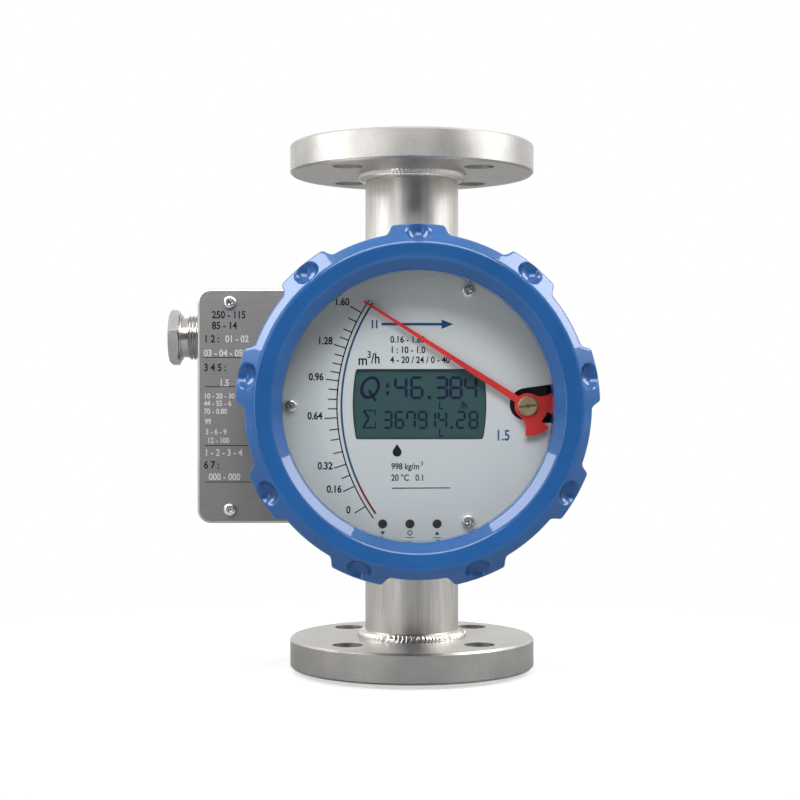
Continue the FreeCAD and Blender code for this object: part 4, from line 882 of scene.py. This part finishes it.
def droplet(mesh_bm, x, z):
    """A water drop: the measured liquid's symbol."""
    corners = [dial_place(x, z + 2.9)]
    for i in range(17):
        angle = radians(150 + 240 * i / 16)
        corners.append(dial_place(x + 1.9 * cos(angle), z - 0.6 + 1.9 * sin(angle)))
    panel(mesh_bm, corners, PRINT)


def flow_arrow(mesh_bm):
    """The direction of flow: a long arrow after two short rules."""
    z = 34.6
    bar(mesh_bm, dial_place(-15.0, z), dial_place(11.0, z), 1.1 * MM, PRINT)
    panel(mesh_bm, [dial_place(10.4, z - 2.0), dial_place(15.4, z), dial_place(10.4, z + 2.0)],
          PRINT)
    for x in (-17.0, -18.8):
        bar(mesh_bm, dial_place(x, z - 1.8), dial_place(x, z + 1.8), 0.7 * MM, PRINT)


def oval(mesh_bm, x, z, half_width, half_height, thick, lean, front):
    """A leaning oval ring drawn with one line."""
    steps = 48

    def loop(inset):
        verts = []
        for i in range(steps):
            angle = 2 * pi * i / steps
            rise = (half_height - inset) * sin(angle)
            across = (half_width - inset) * cos(angle) + lean * rise
            verts.append(mesh_bm.verts.new((x + across, front, z + rise)))
        return verts

    outer, inner = loop(0), loop(thick)
    deepen(mesh_bm, [mesh_bm.faces.new((outer[i - 1], outer[i], inner[i], inner[i - 1]))
                     for i in range(steps)], INK)


# --- Display ------------------------------------------------------------------------------------
SEGMENTS = {"0": "abcdef", "1": "bc", "2": "abged", "3": "abgcd", "4": "fgbc", "5": "afgcd",
            "6": "afgedc", "7": "fabc", "8": "abcdefg", "9": "abcdfg"}
UPPER_FIGURES = zip("46.384", (-9.68, -2.92, 5.28, 7.55, 13.65, 19.9))
LOWER_FIGURES = zip("367914.28", (-14.5, -9.51, -4.61, 0.3, 4.02, 8.75, 14.7, 16.5, 21.9))
DISPLAY_UNITS = (("L", 10.1, 0.1, 3.2), ("/h", 19.9, 0.1, 3.2), ("L", 10.1, -11.5, 3.2))
SUM_SIGN = ((-17.6, -3.9), (-17.6, -1.9), (-22.6, -1.9), (-20.3, -5.2), (-22.8, -9.2),
            (-17.5, -9.2), (-17.5, -6.5))
SUM_SIGN_WIDTHS = (0.5, 0.55, 1.0, 0.95, 0.6, 0.5)


def segment(mesh_bm, start, end, thick, front):
    """One pointed segment of a figure."""
    a, b = Vector(start), Vector(end)
    along = (b - a).normalized()
    side = Vector((-along.y, along.x)) * thick / 2
    tip = along * thick / 2
    gap = along * thick * 0.12
    a, b = a + gap, b - gap
    panel(mesh_bm, [a, a + tip - side, b - tip - side, b, b - tip + side, a + tip + side], front)


def figure(mesh_bm, digit, left, bottom, width, height, thick, front):
    """A seven-segment figure, or a point."""
    if digit == ".":
        side = thick * 0.62
        top = bottom + 2 * side
        panel(mesh_bm, [(left - side, bottom), (left + side, bottom), (left + side, top),
                        (left - side, top)], front)
        return
    inset = thick / 2
    x0, x1 = left + inset, left + width - inset
    z0, z1, z2 = bottom + inset, bottom + height / 2, bottom + height - inset
    ends = {"a": ((x0, z2), (x1, z2)), "b": ((x1, z1), (x1, z2)), "c": ((x1, z0), (x1, z1)),
            "d": ((x0, z0), (x1, z0)), "e": ((x0, z0), (x0, z1)), "f": ((x0, z1), (x0, z2)),
            "g": ((x0, z1), (x1, z1))}
    for letter in SEGMENTS[digit]:
        segment(mesh_bm, *ends[letter], thick, front)


def display():
    """The panel's figures and signs, just in front of its face."""
    front = DISPLAY_FACE - INK
    ink = bmesh.new()
    for digit, x in UPPER_FIGURES:
        figure(ink, digit, *dial_place(x, 2.87), 5.75 * MM, 9.75 * MM, 1.2 * MM, front)
    for digit, x in LOWER_FIGURES:
        figure(ink, digit, *dial_place(x, -9.72), 4.2 * MM, 7.7 * MM, 0.95 * MM, front)
    oval(ink, *dial_place(-19.8, 7.8), 4.1 * MM, 4.8 * MM, 1.25 * MM, 0.2, front)
    bar(ink, dial_place(-20.2, 6.6), dial_place(-17.4, 2.1), 1.15 * MM, front)
    for tip, z in ((1, 9.1), (-1, 5.1)):
        triangle(ink, -12.4, z, 0.95, 1.15, tip, front)
    words(ink, DISPLAY_UNITS, front, dial_place, squeeze=0.85, weight=0.02)
    for start, end, width in zip(SUM_SIGN, SUM_SIGN[1:], SUM_SIGN_WIDTHS):
        bar(ink, dial_place(*start), dial_place(*end), width * MM, front)
    piece("display_figures", ink, "meter", "display_panel", finish=SEGMENT_INK)


def display_outline():
    """A painted shadow: the dark line round the display where the dial's cut edge shades it; and
    the dial's parts that cover corners of its opening.
    """
    half_h, half_w, bulge = 14.8, 26.7, 1.4

    def side(z):
        return half_w + bulge * (1 - (z / half_h) ** 2)

    def places(corners):
        return [dial_place(1.1 + x, 0.8 + z) for x, z in corners]

    cut_corner = [(26.2, 11.4), (24.2, 13.2), (22.4, 14.3)]
    right = [(side(z), z) for z in (half_h * (-0.93 + 1.62 * i / 12) for i in range(13))]
    left = [(-side(z), z) for z in (half_h * (0.93 - 1.86 * i / 14) for i in range(15))]
    outline = places([(24.6, -half_h + 0.12), (26.0, -half_h + 0.35), *right, *cut_corner,
                      (20.6, half_h - 0.1), (-25.2, half_h - 0.1), (-26.4, half_h - 0.35), *left,
                      (-26.3, -half_h + 0.35), (-25.0, -half_h + 0.12)])
    # Painted shadow: a thin black line along the opening's edge.
    line = bmesh.new()
    for start, end in zip(outline, outline[1:] + outline[:1]):
        bar(line, start, end, 0.3 * MM, PRINT - INK)
    piece("display_shadow_line", line, "meter", "dial_paint", finish=INK_BLACK)

    patch = bmesh.new()
    panel(patch, places([(19.8, half_h + 0.3), (half_w + 0.35, half_h + 0.3),
                         (side(8.5) + 0.25, 8.5), *cut_corner]), PRINT)
    # A crescent that rounds the opening behind the pointer.
    outer = [about_pivot(150 + 170 * i / 24, 7.7 * MM) for i in range(25)]
    inner = [about_pivot(320 - 170 * i / 24, 6.5 * MM) for i in range(25)]
    panel(patch, outer + [(x - 0.85 * MM, z + 0.63 * MM) for x, z in inner], PRINT)
    piece("dial_corner", patch, "meter", "dial_paint")


# --- Nameplate ----------------------------------------------------------------------------------
BOWL_R = 70.9 * MM
RULES = (21.15, 8.4, -17.3, -33.2)
# Text, place in mm from the plate's left edge and the head's axis, and height in mm.
HEADINGS = (("250 - 115", 5.4, 39.6, 3.1), ("85 - 14", 5.4, 34.9, 3.1), ("1 2 :", 1.9, 29.1, 3.1),
            ("3 4 5 :", 1.9, 16.6, 3.1), ("6 7 :", 1.9, -25.9, 3.1))
VALUES = (("01 - 02", 11.2, 29.1, 2.9), ("03 - 04 - 0506", 1.9, 22.9, 2.9), ("1.5", 8.6, 9.9, 2.9),
          ("1 - 2 - 3 - 4", 2.2, -20.5, 2.9), ("000 - 000", 4.0, -31.1, 2.9),
          ("10 - 20 - 30", 1.9, 4.2, 2.3), ("44 - 55 - 6", 1.9, 1.0, 2.3),
          ("70 - 0.80", 1.9, -2.5, 2.3), ("99", 2.3, -6.9, 2.3), ("3 - 6 - 9", 2.6, -11.4, 2.3),
          ("12 - 100", 3.4, -15.2, 2.3))


def nameplate():
    """The plate's etched rules, and plain numbers in its fields: dark headings and pale values."""
    front = PLATE_LOW.y - INK
    dark, pale = bmesh.new(), bmesh.new()

    def at(x, z):
        return PLATE_LOW.x + x * MM, HEAD.z + z * MM

    for z in RULES:
        right = HEAD.x - sqrt(BOWL_R ** 2 - (z * MM) ** 2)
        bar(dark, at(2.3, z), (right, HEAD.z + z * MM), 0.34 * MM, front)
    words(dark, HEADINGS, front, at, align="LEFT", weight=0.024)
    words(pale, VALUES, front, at, align="LEFT", weight=0.024)
    piece("nameplate_dark", dark, "meter", "plate_stainless", finish=ETCHED)
    piece("nameplate_pale", pale, "meter", "plate_stainless", finish=MARKED)


# --- Studio -------------------------------------------------------------------------------------
ROOM_FRONT = 0.08
ROOM_SIDE = 1.2
ROOM_LEVEL = 0.5            # of the sides' brightness, at the meter's own height
ROOM_REAR = 0.9             # of the sides' brightness
ROOM_BELOW = 0.6
ROOM_DIFFUSE = 0.06
PAPER_HALF = 0.9
PAPER_GLOW = 0.60           # for the camera alone
PAPER_FADE = (0.16, 0.30)   # distances from the foot where the fading starts and ends
AIM = Vector((0.0, -0.06, 0.125))       # the place that the lamps face
# Each lamp's name, place, size and power, then whether it lights matt surfaces and is mirrored.
LAMPS = (("left_box", (-0.84, -0.14, 0.83), (0.6, 0.8), 8.5, True, False),
         ("left_glow", (-0.80, -0.14, 0.79), (0.57, 0.76), 12.0, False, True),
         ("right_box", (0.84, -0.14, 0.83), (0.6, 0.8), 8.5, True, False),
         ("right_glow", (0.80, -0.14, 0.79), (0.57, 0.76), 12.0, False, True),
         ("left_strip", (-0.82, -1.12, 0.28), (0.16, 0.9), 2.4, True, True),
         ("front_box", (0.0, -0.98, 1.02), (1.0, 0.5), 11.6, True, False),
         ("front_glow", (0.0, -0.93, 0.97), (0.95, 0.48), 12.0, False, True))


def light_path(nodes, kind):
    """1 for rays of one kind."""
    return nodes.node("ShaderNodeLightPath", {}, {}, kind)


def room():
    """A white room for the camera. Reflections meet one that is dark in front of the meter and
    bright at its sides, more so above and under the meter's own height than level with it."""
    world = bpy.data.worlds.new("studio")
    bpy.context.scene.world = world
    world.use_nodes = True
    nodes = Nodes(world.node_tree)
    direction = nodes.node("ShaderNodeTexCoord", {}, {}, "Generated")
    y, z = (nodes.node("ShaderNodeSeparateXYZ", {}, {0: direction}, name) for name in "YZ")
    sides = y.ramp(-0.92, -0.35, ROOM_FRONT, ROOM_SIDE) * y.ramp(0.1, 0.5, 1.0, ROOM_REAR)
    height = z.maths("ABSOLUTE", z).ramp(0.03, 0.12, ROOM_LEVEL, 1.0)
    mirrored = sides * height * z.ramp(-0.5, -0.05, ROOM_BELOW, 1.0)
    lit = nodes.blend(light_path(nodes, "Is Glossy Ray"), ROOM_DIFFUSE, mirrored)
    camera_ray = light_path(nodes, "Is Camera Ray")
    through_glass = light_path(nodes, "Is Transmission Ray")
    seen = camera_ray.maths("MAXIMUM", camera_ray, through_glass)
    background = world.node_tree.nodes["Background"]
    background.inputs["Color"].default_value = (1, 1, 1, 1)
    world.node_tree.links.new(nodes.blend(seen, lit, 1.0).socket, background.inputs["Strength"])


def floor():
    """White paper that fades into the room away from the foot, where only its shadow is wanted."""
    floor_bm = bmesh.new()
    bmesh.ops.create_grid(floor_bm, x_segments=1, y_segments=1, size=PAPER_HALF)
    mesh = bpy.data.meshes.new("floor")
    floor_bm.to_mesh(mesh)
    floor_bm.free()
    obj = bpy.data.objects.new("floor", mesh)
    bpy.context.collection.objects.link(obj)
    finish = Finish("floor_paper", (0.52, 0.52, 0.52), 0.9, Specular_IOR_Level=0.0)
    tree = finish.tree
    seen = light_path(finish, "Is Camera Ray")
    finish.set("Emission Color", (1.0, 1.0, 1.0))
    finish.set("Emission Strength", seen * PAPER_GLOW)
    away = finish.node("ShaderNodeVectorMath", {"operation": "LENGTH"}, {0: finish.place}, "Value")
    clear = tree.nodes.new("ShaderNodeBsdfTransparent")
    paper = tree.nodes.new("ShaderNodeMixShader")
    tree.links.new((away.step(*PAPER_FADE) * seen).socket, paper.inputs[0])
    tree.links.new(finish.shader.outputs[0], paper.inputs[1])
    tree.links.new(clear.outputs[0], paper.inputs[2])
    tree.links.new(paper.outputs[0], tree.nodes["Material Output"].inputs["Surface"])
    mesh.materials.append(finish.material)


def lamps():
    """Soft boxes: most come in pairs, one that lights and one that is mirrored."""
    for name, place, size, power, lit, mirrored in LAMPS:
        lamp = bpy.data.lights.new(name, "AREA")
        lamp.shape = "RECTANGLE"
        lamp.size, lamp.size_y = size
        lamp.energy = power
        obj = bpy.data.objects.new(name, lamp)
        obj.location = place
        obj.rotation_euler = (AIM - Vector(place)).to_track_quat("-Z", "Y").to_euler()
        obj.visible_diffuse = lit
        obj.visible_glossy = mirrored
        bpy.context.collection.objects.link(obj)


def camera():
    """The camera in front of the meter, a little to its left."""
    lens = bpy.data.cameras.new("camera")
    lens.lens = 74.49
    lens.sensor_width = 36.0
    obj = bpy.data.objects.new("camera", lens)
    obj.location = (-0.02014, -0.78434, 0.12727)
    obj.rotation_euler = Vector((0.01854, 0.99982, 0.00043)).to_track_quat("-Z", "Y").to_euler()
    bpy.context.collection.objects.link(obj)
    bpy.context.scene.camera = obj
    bpy.context.scene.view_settings.view_transform = "Standard"


camera()
room()
floor()
lamps()
dress_frame()
cover()
weld_bead("lower_weld", LOWER_WELD, 1, 0.42 * MM, 74, 0.4)
weld_bead("upper_weld", UPPER_WELD, -1, 0.22 * MM, 92, 2.1)
plug()
screws()
pointer_sheet()
pointer_nut()
dial_print()
display()
display_outline()
nameplate()
